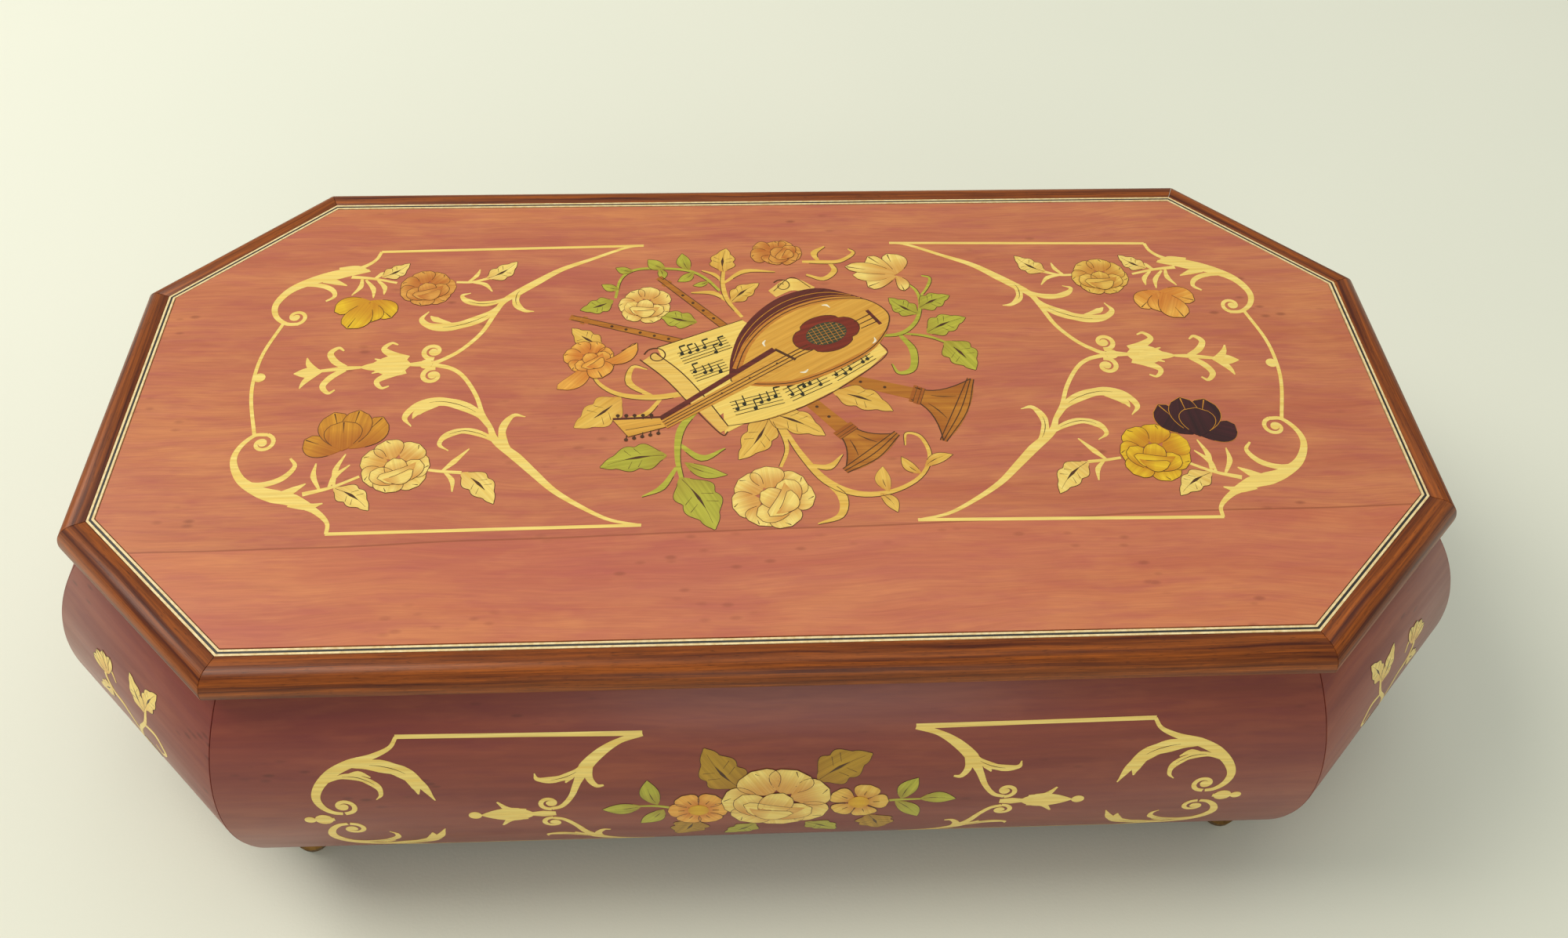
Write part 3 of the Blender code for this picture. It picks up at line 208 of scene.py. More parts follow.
# %% The grain group
def grain_group():
    """Long streaks, fibre and pores; X of Place runs along the grain, all in metres."""
    tree, given, result = new_group("wood_grain", [
        ("Place", "Vector", None), ("Wander", "Float", 0.002), ("Streak Width", "Float", 0.006)],
        [("Streak", "Float"), ("Fibre", "Float"), ("Pore", "Float")])
    place = given.outputs["Place"]
    wander = noise(tree, place, (14.0, 22.0, 22.0), 2.0)
    shift = node(tree, "ShaderNodeMath", {0: wander, 1: given.outputs["Wander"]}, operation="MULTIPLY")
    offset = node(tree, "ShaderNodeCombineXYZ", {"Y": shift.outputs[0]})
    bent = node(tree, "ShaderNodeVectorMath", {0: place, 1: offset.outputs[0]}, operation="ADD").outputs[0]
    parts = node(tree, "ShaderNodeSeparateXYZ", {0: bent})
    across = node(tree, "ShaderNodeMath", {0: parts.outputs["Y"], 1: given.outputs["Streak Width"]},
                  operation="DIVIDE")
    along = node(tree, "ShaderNodeMath", {0: parts.outputs["X"], 1: 11.0}, operation="MULTIPLY")
    lane = node(tree, "ShaderNodeCombineXYZ", {"X": along.outputs[0], "Y": across.outputs[0],
                                               "Z": parts.outputs["Z"]})
    streak = node(tree, "ShaderNodeTexNoise", {"Vector": lane.outputs[0], "Scale": 1.0, "Detail": 4.0,
                                               "Roughness": 0.6})
    tree.links.new(streak.outputs["Fac"], result.inputs["Streak"])
    tree.links.new(noise(tree, bent, (90.0, 2400.0, 2400.0), 3.0, 0.6), result.inputs["Fibre"])
    pits = noise(tree, bent, (420.0, 5200.0, 5200.0), 1.0)
    tree.links.new(spread(tree, pits, 0.62, 0.72), result.inputs["Pore"])
    return tree


GRAIN = grain_group()


def grain(tree, place, wander, streak_width):
    """Place the grain group in a material and give its three outputs."""
    made = node(tree, "ShaderNodeGroup", node_tree=GRAIN)
    tree.links.new(place, made.inputs["Place"])
    made.inputs["Wander"].default_value = wander
    made.inputs["Streak Width"].default_value = streak_width
    return made.outputs["Streak"], made.outputs["Fibre"], made.outputs["Pore"]


# %% [markdown]
# ## The rose veneer
#
# Dyed maple shows broad soft waves, darker specks where small buds grew, and a smooth lacquer. The field of
# the lid is one sheet with a second strip jointed to its front, seen as one fine dark line. The walls are
# the same veneer, a little deeper in tone.

# %% Lacquered rose veneer
def rose_finish(name, pale, deep, curled, glow, source, joint=False):
    """Dyed maple under satin lacquer, with curled pink and glowing orange figure. Source names the
    coordinates: Object or UV."""
    material, tree, shader = new_material(name, Roughness=0.36, Coat_Weight=0.14, Coat_Roughness=0.2,
                                          Specular_IOR_Level=0.34)
    place = node(tree, "ShaderNodeTexCoord").outputs[source]
    streak, fibre = grain(tree, place, 0.012, 0.0065)[:2]
    broad = noise(tree, place, (9.0, 26.0, 26.0), 2.0)
    share = spread(tree, streak, 0.26, 0.80)
    tint = mixed(tree, share, pale, deep)
    cloud = spread(tree, broad, 0.35, 0.7)
    tint = mixed(tree, cloud, tint, mixed(tree, 0.45, tint, curled))
    curl = noise(tree, place, (70.0, 420.0, 420.0), 4.0, 0.6)
    tint = mixed(tree, spread(tree, curl, 0.46, 0.66, 0.0, 0.36), tint, curled)
    warm = noise(tree, place, (48.0, 130.0, 130.0), 3.0, 0.6)
    tint = mixed(tree, spread(tree, warm, 0.5, 0.72, 0.0, 0.30), tint, glow)
    fine = spread(tree, fibre, 0.3, 0.75, 0.0, 0.30)
    tint = mixed(tree, fine, tint, color(126, 52, 50))
    # Bud marks: sparse short specks that gather in patches.
    stretched = node(tree, "ShaderNodeMapping", {"Vector": place, "Scale": (150.0, 330.0, 330.0)})
    cell = node(tree, "ShaderNodeTexVoronoi", {"Vector": stretched.outputs[0], "Scale": 1.0})
    spot = spread(tree, cell.outputs["Distance"], 0.10, 0.24, 1.0, 0.0)
    patch = spread(tree, noise(tree, place, (30.0, 52.0, 52.0), 1.0), 0.55, 0.66)
    bud = node(tree, "ShaderNodeMath", {0: spot, 1: patch}, operation="MULTIPLY").outputs[0]
    bud = node(tree, "ShaderNodeMath", {0: bud, 1: 0.55}, operation="MULTIPLY").outputs[0]
    tint = mixed(tree, bud, tint, mixed(tree, 0.6, deep, color(60, 20, 20)))
    if joint:
        parts = node(tree, "ShaderNodeSeparateXYZ", {0: place})
        slope = node(tree, "ShaderNodeMath", {0: parts.outputs["X"], 1: -0.026, 2: parts.outputs["Y"]},
                     operation="MULTIPLY_ADD").outputs[0]
        waver = noise(tree, place, (18.0, 0.0, 0.0), 1.0)
        bent = node(tree, "ShaderNodeMath", {0: waver, 1: -0.0022, 2: slope},
                    operation="MULTIPLY_ADD").outputs[0]
        line = node(tree, "ShaderNodeMath", {0: bent, 1: -0.0418, 2: 0.00022}, operation="COMPARE")
        strip = node(tree, "ShaderNodeMath", {0: bent, 1: -0.0418}, operation="LESS_THAN").outputs[0]
        strip = node(tree, "ShaderNodeMath", {0: strip, 1: 0.16}, operation="MULTIPLY").outputs[0]
        tint = mixed(tree, strip, tint, color(214, 112, 84))
        seam = node(tree, "ShaderNodeMath", {0: line.outputs[0], 1: 0.6}, operation="MULTIPLY").outputs[0]
        tint = mixed(tree, seam, tint, color(138, 70, 40))
    tree.links.new(tint, shader.inputs["Base Color"])
    rough = spread(tree, streak, 0.3, 0.7, 0.32, 0.42)
    tree.links.new(rough, shader.inputs["Roughness"])
    bump = node(tree, "ShaderNodeBump", {"Height": fibre, "Strength": 0.10, "Distance": 0.00006})
    tree.links.new(bump.outputs["Normal"], shader.inputs["Normal"])
    return material


ROSE_FIELD = rose_finish("rose_field", color(214, 138, 88), color(184, 98, 64), color(172, 82, 82),
                         color(232, 160, 96), "Object", joint=True)
ROSE_WALL = rose_finish("rose_wall", color(150, 76, 52), color(108, 44, 34), color(112, 42, 48),
                        color(166, 92, 62), "UV")


# %% Lacquered mahogany edging
def mahogany_finish():
    """Warm brown edging with strong dark streaks and open pores."""
    material, tree, shader = new_material("mahogany_edging", Roughness=0.38, Coat_Weight=0.06,
                                          Coat_Roughness=0.2, Specular_IOR_Level=0.22)
    place = node(tree, "ShaderNodeTexCoord").outputs["UV"]
    streak, fibre, pore = grain(tree, place, 0.003, 0.0016)
    tint = mixed(tree, spread(tree, streak, 0.36, 0.66), color(168, 88, 28), color(84, 31, 9))
    tint = mixed(tree, spread(tree, fibre, 0.35, 0.7, 0.0, 0.5), tint, color(58, 22, 12))
    tint = mixed(tree, spread(tree, pore, 0.0, 1.0, 0.0, 0.55), tint, color(34, 13, 8))
    tree.links.new(tint, shader.inputs["Base Color"])
    bump = node(tree, "ShaderNodeBump", {"Height": fibre, "Strength": 0.22, "Distance": 0.00008})
    tree.links.new(bump.outputs["Normal"], shader.inputs["Normal"])
    return material


MAHOGANY = mahogany_finish()


# %% Plain woods under the veneer
def raw_wood_finish(name, pale, deep):
    """Unlacquered wood, as on the base board and inside the movement bay."""
    material, tree, shader = new_material(name, Roughness=0.66)
    place = node(tree, "ShaderNodeTexCoord").outputs["Object"]
    streak, fibre, pore = grain(tree, place, 0.006, 0.004)
    tint = mixed(tree, spread(tree, streak, 0.3, 0.7), pale, deep)
    tint = mixed(tree, spread(tree, pore, 0.0, 1.0, 0.0, 0.4), tint, color(96, 62, 34))
    tree.links.new(tint, shader.inputs["Base Color"])
    tree.links.new(spread(tree, fibre, 0.3, 0.7, 0.58, 0.76), shader.inputs["Roughness"])
    bump = node(tree, "ShaderNodeBump", {"Height": fibre, "Strength": 0.3, "Distance": 0.0001})
    tree.links.new(bump.outputs["Normal"], shader.inputs["Normal"])
    return material


RAW_WOOD = raw_wood_finish("raw_wood", color(206, 168, 118), color(172, 128, 80))

# %% [markdown]
# ## Walls and lid edging
#
# Each wall is a length of wood shaped to a curve outside and flat inside, with its ends mitred at half of
# the corner's 45 degrees. The section is drawn once as a face, extruded along the wall, and cut at both
# ends by a bisect, as a mitre saw would. A small bevel takes the sharpness off the long edges, so that they
# catch the light. The lid's edging is made in the same way from its own section.


# %% Octagon and mitred lengths
def octagon(offset):
    """Corners of the eight-sided plan at an offset from the lid's edge, from the front left."""
    x, y = EDGE_X + offset, EDGE_Y + offset
    cut = CORNER + OFFSET_SHARE * offset
    return [Vector(c) for c in ((cut - x, -y), (x - cut, -y), (x, cut - y), (x, y - cut),
                                (x - cut, y), (cut - x, y), (-x, y - cut), (-x, cut - y))]


def face_side(index):
    """The middle of a side at the lid's edge, the way along it, the way out of it and its length."""
    corners = octagon(0.0)
    start, end = corners[index], corners[(index + 1) % 8]
    along = (end - start).normalized()
    return (start + end) / 2, along, Vector((along.y, -along.x)), (end - start).length


def only(obj):
    """Make one object the selected and active one."""
    bpy.ops.object.select_all(action="DESELECT")
    obj.select_set(True)
    bpy.context.view_layer.objects.active = obj


def new_piece(name, verts, faces, material=None):
    mesh = bpy.data.meshes.new(name)
    mesh.from_pydata([tuple(v) for v in verts], [], faces)
    obj = bpy.data.objects.new(name, mesh)
    scene.collection.objects.link(obj)
    if material:
        mesh.materials.append(material)
    only(obj)
    return obj


def turn_faces_out(obj):
    """Point all faces of a closed piece outwards."""
    only(obj)
    bpy.ops.object.mode_set(mode="EDIT")
    bpy.ops.mesh.select_all(action="SELECT")
    bpy.ops.mesh.normals_make_consistent(inside=False)
    bpy.ops.object.mode_set(mode="OBJECT")


def give_depth(obj, thickness):
    """Thicken an open sheet downwards."""
    depth = obj.modifiers.new("depth", "SOLIDIFY")
    depth.thickness = thickness
    depth.offset = -1.0
    bpy.ops.object.modifier_apply(modifier=depth.name)


def grain_map(obj, along, outward):
    """A UV map in metres whose U runs along the piece and whose V runs down its outer face."""
    mesh = obj.data
    layer = mesh.uv_layers.new(name="grain") if not mesh.uv_layers else mesh.uv_layers[0]
    for loop in mesh.loops:
        place = mesh.vertices[loop.vertex_index].co
        flat = Vector((place.x, place.y))
        layer.data[loop.index].uv = (flat.dot(along) + 0.37 * outward.x, flat.dot(outward) - place.z)


def mitred_length(name, index, section, material, joint_gap, bevel):
    """One length of the octagon from its section of (offset, height) points."""
    middle, along, outward, length = face_side(index)
    start = middle - along * length
    ring = []
    for offset, height in section:
        flat = start + outward * offset
        ring.append((flat.x, flat.y, height))
    obj = new_piece(name, ring, [list(range(len(ring)))], material)
    bpy.ops.object.mode_set(mode="EDIT")
    bpy.ops.mesh.select_all(action="SELECT")
    bpy.ops.mesh.extrude_region_move(TRANSFORM_OT_translate={"value": (*(along * 2 * length), 0.0)})
    for end, sense in ((middle - along * length / 2, -1), (middle + along * length / 2, 1)):
        turn = math.radians(22.5) * sense
        mitre = Vector((along.x * math.cos(turn) - along.y * math.sin(turn),
                        along.x * math.sin(turn) + along.y * math.cos(turn))) * sense
        place = end - mitre * joint_gap / 2
        bpy.ops.mesh.select_all(action="SELECT")
        bpy.ops.mesh.bisect(plane_co=(*place, 0.0), plane_no=(*mitre, 0.0), use_fill=True, clear_outer=True)
    bpy.ops.mesh.select_all(action="SELECT")
    bpy.ops.mesh.normals_make_consistent(inside=False)
    bpy.ops.object.mode_set(mode="OBJECT")
    soften = obj.modifiers.new("softened_edges", "BEVEL")
    soften.width = bevel
    soften.segments = 2
    soften.angle_limit = math.radians(35)
    bpy.ops.object.modifier_apply(modifier=soften.name)
    grain_map(obj, along, outward)
    bpy.ops.object.shade_smooth_by_angle(angle=math.radians(28))
    return obj


# %% The bulging walls
def bulge_offset(height):
    """How far the wall's outer face stands from the lid's edge at a height."""
    return BULGE - BULGE_RADIUS + math.sqrt(BULGE_RADIUS ** 2 - (height - BULGE_LEVEL) ** 2)


def wall_section(steps=44):
    heights = [WALL_FOOT + (RIM - WALL_FOOT) * i / steps for i in range(steps + 1)]
    outer = [(bulge_offset(h), h) for h in heights]
    return [(-WALL_INNER, WALL_FOOT)] + outer + [(-WALL_INNER, RIM)]


for index, side in enumerate(SIDES):
    wall = mitred_length("wall_" + side, index, wall_section(), ROSE_WALL, 0.12 * MM, 0.25 * MM)
    wall.data.materials.append(RAW_WOOD)
    for face in wall.data.polygons:
        if face.normal.dot(Vector((*face_side(index)[2], 0.0))) < -0.8:
            face.material_index = 1
    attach(wall, "case")
    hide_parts("panel_" + side)
print("walls:", len(SIDES), "faces in one:", len(wall.data.polygons))


# %% The lid's edging
def edging_section():
    """A flat top, a rounded shoulder, a small lip and a cove that runs under."""
    width, drop = 3.9 * MM, 4.8 * MM             # the rounded shoulder
    cove_in, cove_down = 1.7 * MM, 2.05 * MM     # the hollow under the lip
    cove_start = (-0.9 * MM, LID_TOP - drop - 1.15 * MM)
    shoulder_steps, cove_steps = 15, 8
    shoulder = [(width * (math.sin(a) - 1), LID_TOP - drop * (1 - math.cos(a)))
                for a in (math.radians(90 / shoulder_steps * i) for i in range(shoulder_steps + 1))]
    lip_low = LID_TOP - drop
    cove = []
    for i in range(cove_steps + 1):
        a = math.radians(90 * i / cove_steps)
        cove.append((cove_start[0] - cove_in * math.sin(a), cove_start[1] - cove_down * (1 - math.cos(a))))
    lip = [(0.0, lip_low - 0.55 * MM), (-0.25 * MM, lip_low - 0.95 * MM)]
    inner = -STRING_OUTER + 0.06 * MM
    return [(inner, LID_TOP)] + shoulder + lip + cove + [(inner, LID_UNDERSIDE)]


for index, side in enumerate(SIDES):
    edging = mitred_length("edging_" + side, index, edging_section(), MAHOGANY, 0.08 * MM, 0.1 * MM)
    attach(edging, "lid")
    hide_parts("lid_moulding_" + side)
print("edging lengths:", len(SIDES))

# %% [markdown]
# ## Stringing
#
# A narrow inlaid line frames the lid: a black strip between two white ones, each about half a millimetre
# wide. Each strip is a ring of eight lengths that meet in mitres. A ring is built as two outlines bridged
# at the top and given its depth by Solidify.


# %% Rings of stringing
def string_finish(name, pale, deep):
    """Thin straight-grained strip under the lacquer."""
    material, tree, shader = new_material(name, Roughness=0.38, Coat_Weight=0.3, Coat_Roughness=0.15)
    place = node(tree, "ShaderNodeTexCoord").outputs["Object"]
    flecks = noise(tree, place, 900.0, 3.0)
    tree.links.new(mixed(tree, spread(tree, flecks, 0.3, 0.7), pale, deep), shader.inputs["Base Color"])
    tree.links.new(spread(tree, flecks, 0.3, 0.7, 0.34, 0.46), shader.inputs["Roughness"])
    return material


WHITE_STRIP = string_finish("white_strip", color(246, 226, 176), color(222, 190, 130))
BLACK_STRIP = string_finish("black_strip", color(30, 24, 20), color(14, 11, 10))


def string_ring(name, inset, width, material):
    outer, inner = octagon(-inset), octagon(-inset - width)
    verts = [(*p, LID_TOP) for p in outer + inner]
    faces = [[i, (i + 1) % 8, 8 + (i + 1) % 8, 8 + i] for i in range(8)]
    ring = new_piece(name, verts, faces, material)
    give_depth(ring, 0.5 * MM)
    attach(ring, "lid")
    return ring


strip = 0.5 * MM
outer_ring = string_ring("string_outer", STRING_OUTER, strip - 0.02 * MM, WHITE_STRIP)
string_ring("string_black", STRING_OUTER + strip, strip - 0.02 * MM, BLACK_STRIP)
string_ring("string_inner", STRING_OUTER + 2 * strip, strip - 0.02 * MM, WHITE_STRIP)
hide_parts("lid_stringing")
nodes["lid_veneer"].data.materials.clear()
nodes["lid_veneer"].data.materials.append(ROSE_FIELD)

# %% [markdown]
# ## Marquetry
#
# Marquetry is a picture of thin veneers, each cut with a fine saw and fitted into the ground sheet. Petals
# are dipped in hot sand before they are laid, which scorches one edge and shades the picture. Fine dark
# saw lines and a little engraving finish it. Here each cut piece is a small flat patch: a ribbon along a
# curve, a blade from its base to its tip, a disc, or a plate with a free outline. Patches are drawn in
# millimetres on a flat sheet, with a share of scorch at each point, and are kept by wood. A whole picture
# is then laid on the lid or bent onto a wall, and each wood becomes one piece with a real thickness.

# %% Veneers for the picture
VENEERS = {"cream": ((250, 226, 134), (236, 198, 96)), "yellow": ((240, 200, 40), (218, 166, 20)),
           "tan": ((240, 200, 98), (220, 170, 64)), "orange": ((244, 186, 84), (226, 152, 52)),
           "mustard": ((222, 156, 42), (188, 120, 26)), "olive": ((196, 152, 40), (160, 120, 24)),
           "brown": ((230, 168, 80), (206, 136, 50)),
           "green": ((196, 190, 66), (164, 160, 44)), "plum": ((74, 24, 30), (46, 12, 18)),
           "rib": ((116, 44, 30), (78, 24, 16)), "board": ((230, 176, 74), (208, 148, 48)),
           "rosette": ((140, 46, 22), (104, 30, 12)), "hole": ((70, 76, 48), (44, 48, 30)),
           "paper": ((248, 218, 118), (236, 196, 90)), "pipe": ((206, 138, 42), (170, 102, 24)),
           "ink": ((92, 54, 16), (62, 32, 8)), "music": ((44, 42, 16), (28, 26, 10)),
           "pearl": ((250, 244, 222), (232, 220, 190))}


def veneer_finish(name, pale, deep):
    """Close-grained veneer that darkens to brown where the hot sand scorched it."""
    material, tree, shader = new_material(name + "_veneer", Roughness=0.37, Coat_Weight=0.14,
                                          Coat_Roughness=0.2, Specular_IOR_Level=0.34)
    place = node(tree, "ShaderNodeUVMap", uv_map="grain").outputs["UV"]
    streak, fibre = grain(tree, place, 0.0016, 0.0011)[:2]
    scorch = node(tree, "ShaderNodeAttribute", attribute_name="scorch").outputs["Fac"]
    tint = mixed(tree, spread(tree, streak, 0.3, 0.7), color(*pale), color(*deep))
    tint = mixed(tree, spread(tree, fibre, 0.35, 0.7, 0.0, 0.25), tint, color(*[0.6 * c for c in deep]))
    uneven = node(tree, "ShaderNodeMath", {0: spread(tree, fibre, 0.3, 0.7, -0.10, 0.10), 1: scorch},
                  operation="MULTIPLY_ADD").outputs[0]
    burnt = node(tree, "ShaderNodeMath", {0: scorch, 1: uneven}, operation="MULTIPLY", use_clamp=True)
    burnt = node(tree, "ShaderNodeMath", {0: burnt.outputs[0], 1: 0.58}, operation="POWER", use_clamp=True)
    tint = mixed(tree, burnt.outputs[0], tint, color(0.82 * deep[0], 0.54 * deep[1], 0.28 * deep[2]))
    tree.links.new(tint, shader.inputs["Base Color"])
    bump = node(tree, "ShaderNodeBump", {"Height": fibre, "Strength": 0.12, "Distance": 0.00005})
    tree.links.new(bump.outputs["Normal"], shader.inputs["Normal"])
    return material


VENEER_FINISH = {name: veneer_finish(name, *tones) for name, tones in VENEERS.items()}

# %% Patches and the sheet they are drawn on
drawing = {}                         # wood -> points, faces, grain places and scorch of its patches
pen = {"place": lambda x, y: (x, y), "count": 0}
STEP = 0.008                         # height from one layer of the drawing to the next, in mm
LOWEST = 0.03                        # height of layer 0 over the surface, in mm
HAIR = 0.0006                        # difference between neighbours on one layer, in mm
VENEER_DEPTH = 0.06 * MM


def layer_height(level):
    """Height of a patch. Neighbours on one level differ by a hair, so that no two tops coincide."""
    pen["count"] += 1
    return LOWEST + STEP * level + HAIR * (pen["count"] % 13)


def sheet_of(wood):
    """What is drawn in one wood so far, and the number of its next point."""
    sheet = drawing.setdefault(wood, {"points": [], "faces": [], "grain": [], "scorch": []})
    return sheet, len(sheet["points"])


def keep_point(sheet, x, y, height, turn, mark):
    """Keep a point in mm with its place along the wood's grain in metres and its scorch."""
    sheet["points"].append((x, y, height))
    sheet["grain"].append((0.001 * (x * math.cos(turn) + y * math.sin(turn)),
                           0.001 * (y * math.cos(turn) - x * math.sin(turn))))
    sheet["scorch"].append(mark)


def patch(wood, rows, level, scorch, turn=0.0):
    """Keep a grid of points as quads; scorch has one value for each point."""
    sheet, first = sheet_of(wood)
    across = len(rows[0])
    placed = [[pen["place"](*p) for p in row] for row in rows]
    area = 0.0
    for here, ahead in zip(placed, placed[1:]):
        a, b, c, d = here[0], here[-1], ahead[-1], ahead[0]
        area += (c[0] - a[0]) * (d[1] - b[1]) - (d[0] - b[0]) * (c[1] - a[1])
    turned_over = area < 0
    height = layer_height(level)
    for row, marks in zip(placed, scorch):
        for (x, y), mark in zip(row, marks):
            keep_point(sheet, x, y, height, turn, mark)
    for i in range(len(rows) - 1):
        for j in range(across - 1):
            corner = first + i * across + j
            face = [corner, corner + 1, corner + across + 1, corner + across]
            sheet["faces"].append(face[::-1] if turned_over else face)


def plate(wood, outline, level, turn=0.0):
    """Keep a flat piece with a free outline as one face."""
    sheet, first = sheet_of(wood)
    placed = [pen["place"](*p) for p in outline]
    area = sum(a[0] * b[1] - b[0] * a[1] for a, b in zip(placed, placed[1:] + placed[:1]))
    height = layer_height(level)
    for x, y in placed:
        keep_point(sheet, x, y, height, turn, 0.0)
    face = list(range(first, first + len(placed)))
    sheet["faces"].append(face if area > 0 else face[::-1])


def smooth(points, steps=5):
    """A curve through all the points."""
    points = [Vector(p) for p in points]
    if len(points) == 2:
        return [points[0].lerp(points[1], i / 8) for i in range(9)]
    ends = [2 * points[0] - points[1]] + points + [2 * points[-1] - points[-2]]
    curve = []
    for p0, p1, p2, p3 in zip(ends, ends[1:], ends[2:], ends[3:]):
        for i in range(steps):
            t = i / steps
            curve.append(0.5 * (2 * p1 + (p2 - p0) * t + (2 * p0 - 5 * p1 + 4 * p2 - p3) * t * t
                                + (3 * p1 - 3 * p2 + p3 - p0) * t ** 3))
    return curve + [points[-1]]


def along_list(values, share):
    """A value from a list that is spread evenly over 0 to 1."""
    if isinstance(values, (int, float)):
        return values
    place = share * (len(values) - 1)
    low = min(int(place), len(values) - 2)
    return values[low] + (values[low + 1] - values[low]) * (place - low)


def way_at(curve, i):
    """The way a curve runs at one of its points."""
    return curve[min(i + 1, len(curve) - 1)] - curve[max(i - 1, 0)]


def pencil(wood):
    """The wood that engraved lines on a petal are drawn in."""
    return "mustard" if wood == "plum" else "ink"


def ribbon(wood, points, widths, level=1, scorch=0.0, steps=5):
    """A strip along a curve, with its widths and its scorch spread evenly from start to end."""
    curve = smooth(points, steps)
    rows, marks = [], []
    for i, place in enumerate(curve):
        ahead = way_at(curve, i)
        side = Vector((-ahead.y, ahead.x)).normalized()
        share = i / (len(curve) - 1)
        half = along_list(widths, share) / 2
        rows.append([tuple(place + side * half * k) for k in (-1, 0, 1)])
        marks.append([along_list(scorch, share)] * 3)
    patch(wood, rows, level, marks)


def disc(wood, centre, radius, level=1, mark=0.0):
    """A round piece as rows across it."""
    rows, marks = [], []
    for i in range(9):
        angle = math.pi * i / 8
        half = radius * max(math.sin(angle), 0.06)
        y = centre[1] - radius * math.cos(angle)
        rows.append([(centre[0] + half * k, y) for k in (-1, -0.5, 0, 0.5, 1)])
        marks.append([mark, 0.5 * mark, 0.3 * mark, 0.5 * mark, mark])
    patch(wood, rows, level, marks)


def volute(wood, centre, radius, start, turns, widths, level=1, bead=0.36):
    """A spiral that winds in to a bead. Start and the sense of turns are in degrees and turns."""
    points = []
    steps = max(6, int(abs(turns) * 12))
    for i in range(steps + 1):
        share = i / steps
        angle = math.radians(start + 360 * turns * share)
        reach = radius * (1 - 0.78 * share)
        points.append((centre[0] + reach * math.cos(angle), centre[1] + reach * math.sin(angle)))
    ribbon(wood, points, widths, level, steps=2)
    if bead:
        disc(wood, centre, radius * bead, level)


def blade(wood, base, tip, width, level=2, bend=0.0, full=0.5, point=0.9, lobes=0, burn=0.0, until=0.5,
          line=0.0, vein=0.0):
    """A leaf or petal. Full is where it is widest, point is 0.4 for a round end and 1 for a sharp one,
    burn darkens it from its base as far as until, and line and vein are widths of engraved lines."""
    base, tip = Vector(base), Vector(tip)
    axis = tip - base
    side = Vector((-axis.y, axis.x)).normalized()
    count = 27 if lobes else 10
    rows, marks, left, right, spine = [], [], [], [], []
    for i in range(count + 1):
        t = i / count
        middle = base + axis * t + side * bend * axis.length * 4 * t * (1 - t)
        if t < full:
            share = math.sin(math.pi / 2 * t / full) ** 0.8
        else:
            share = max(math.cos(math.pi / 2 * (t - full) / (1 - full)), 0.0) ** point
        if lobes:
            share *= 0.80 + 0.26 * abs(math.cos((lobes * t + 0.2) * math.pi))
        half = width / 2 * max(share, 0.04)
        rows.append([tuple(middle + side * half * k) for k in (-1, -0.55, 0, 0.55, 1)])
        mark = burn * min(max((until - t) / 0.4, 0.0), 1.0)
        marks.append([min(1.0, mark + 0.12 * burn), mark, mark * 0.85, mark, min(1.0, mark + 0.12 * burn)])
        left.append(rows[-1][0])
        right.append(rows[-1][4])
        spine.append(rows[-1][2])
    patch(wood, rows, level, marks, math.atan2(axis.y, axis.x))
    if line:
        ribbon(pencil(wood), left[2:] + right[:1:-1], line, level + 0.6, steps=1)
    if vein:
        ribbon("ink", spine[1:-3], [0.6 * vein, 0.3 * vein], level + 0.7, steps=1)
        cut = (3.8 if lobes else 1.6) * vein
        ribbon("ink", spine[count // 4:2 * count // 3], [0.5 * vein, cut, 0.5 * vein], level + 0.8, steps=1)
        for i in (count // 3, count // 2) if lobes else ():
            for edge in (left, right):
                start, end = Vector(spine[i]), Vector(edge[min(i + 4, count)])
                ribbon("ink", [start.lerp(end, 0.25), start.lerp(end, 0.8)], [0.3 * vein, 0.7 * vein],
                       level + 0.7)


def lay(name, where, body):
    """Turn the drawing into pieces on a surface, one for each wood, and start a new drawing."""
    made = []
    for wood, sheet in drawing.items():
        verts = [where(*p) for p in sheet["points"]]
        piece = new_piece(f"{name}_{wood}", verts, sheet["faces"], VENEER_FINISH[wood])
        mesh = piece.data
        layer = mesh.uv_layers.new(name="grain")
        for loop in mesh.loops:
            layer.data[loop.index].uv = sheet["grain"][loop.vertex_index]
        marks = mesh.attributes.new("scorch", "FLOAT", "POINT")
        marks.data.foreach_set("value", sheet["scorch"])
        give_depth(piece, VENEER_DEPTH)
        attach(piece, body)
        made.append(piece)
    print(name, "woods:", len(made), "faces:", sum(len(p.data.polygons) for p in made))
    drawing.clear()
    return made


# %% Flowers
def toward(centre, angle, reach, flat=1.0):
    """A point at an angle in degrees and a reach from a centre; flat squeezes it upright."""
    a = math.radians(angle)
    return (centre[0] + reach * math.cos(a), centre[1] + reach * flat * math.sin(a))


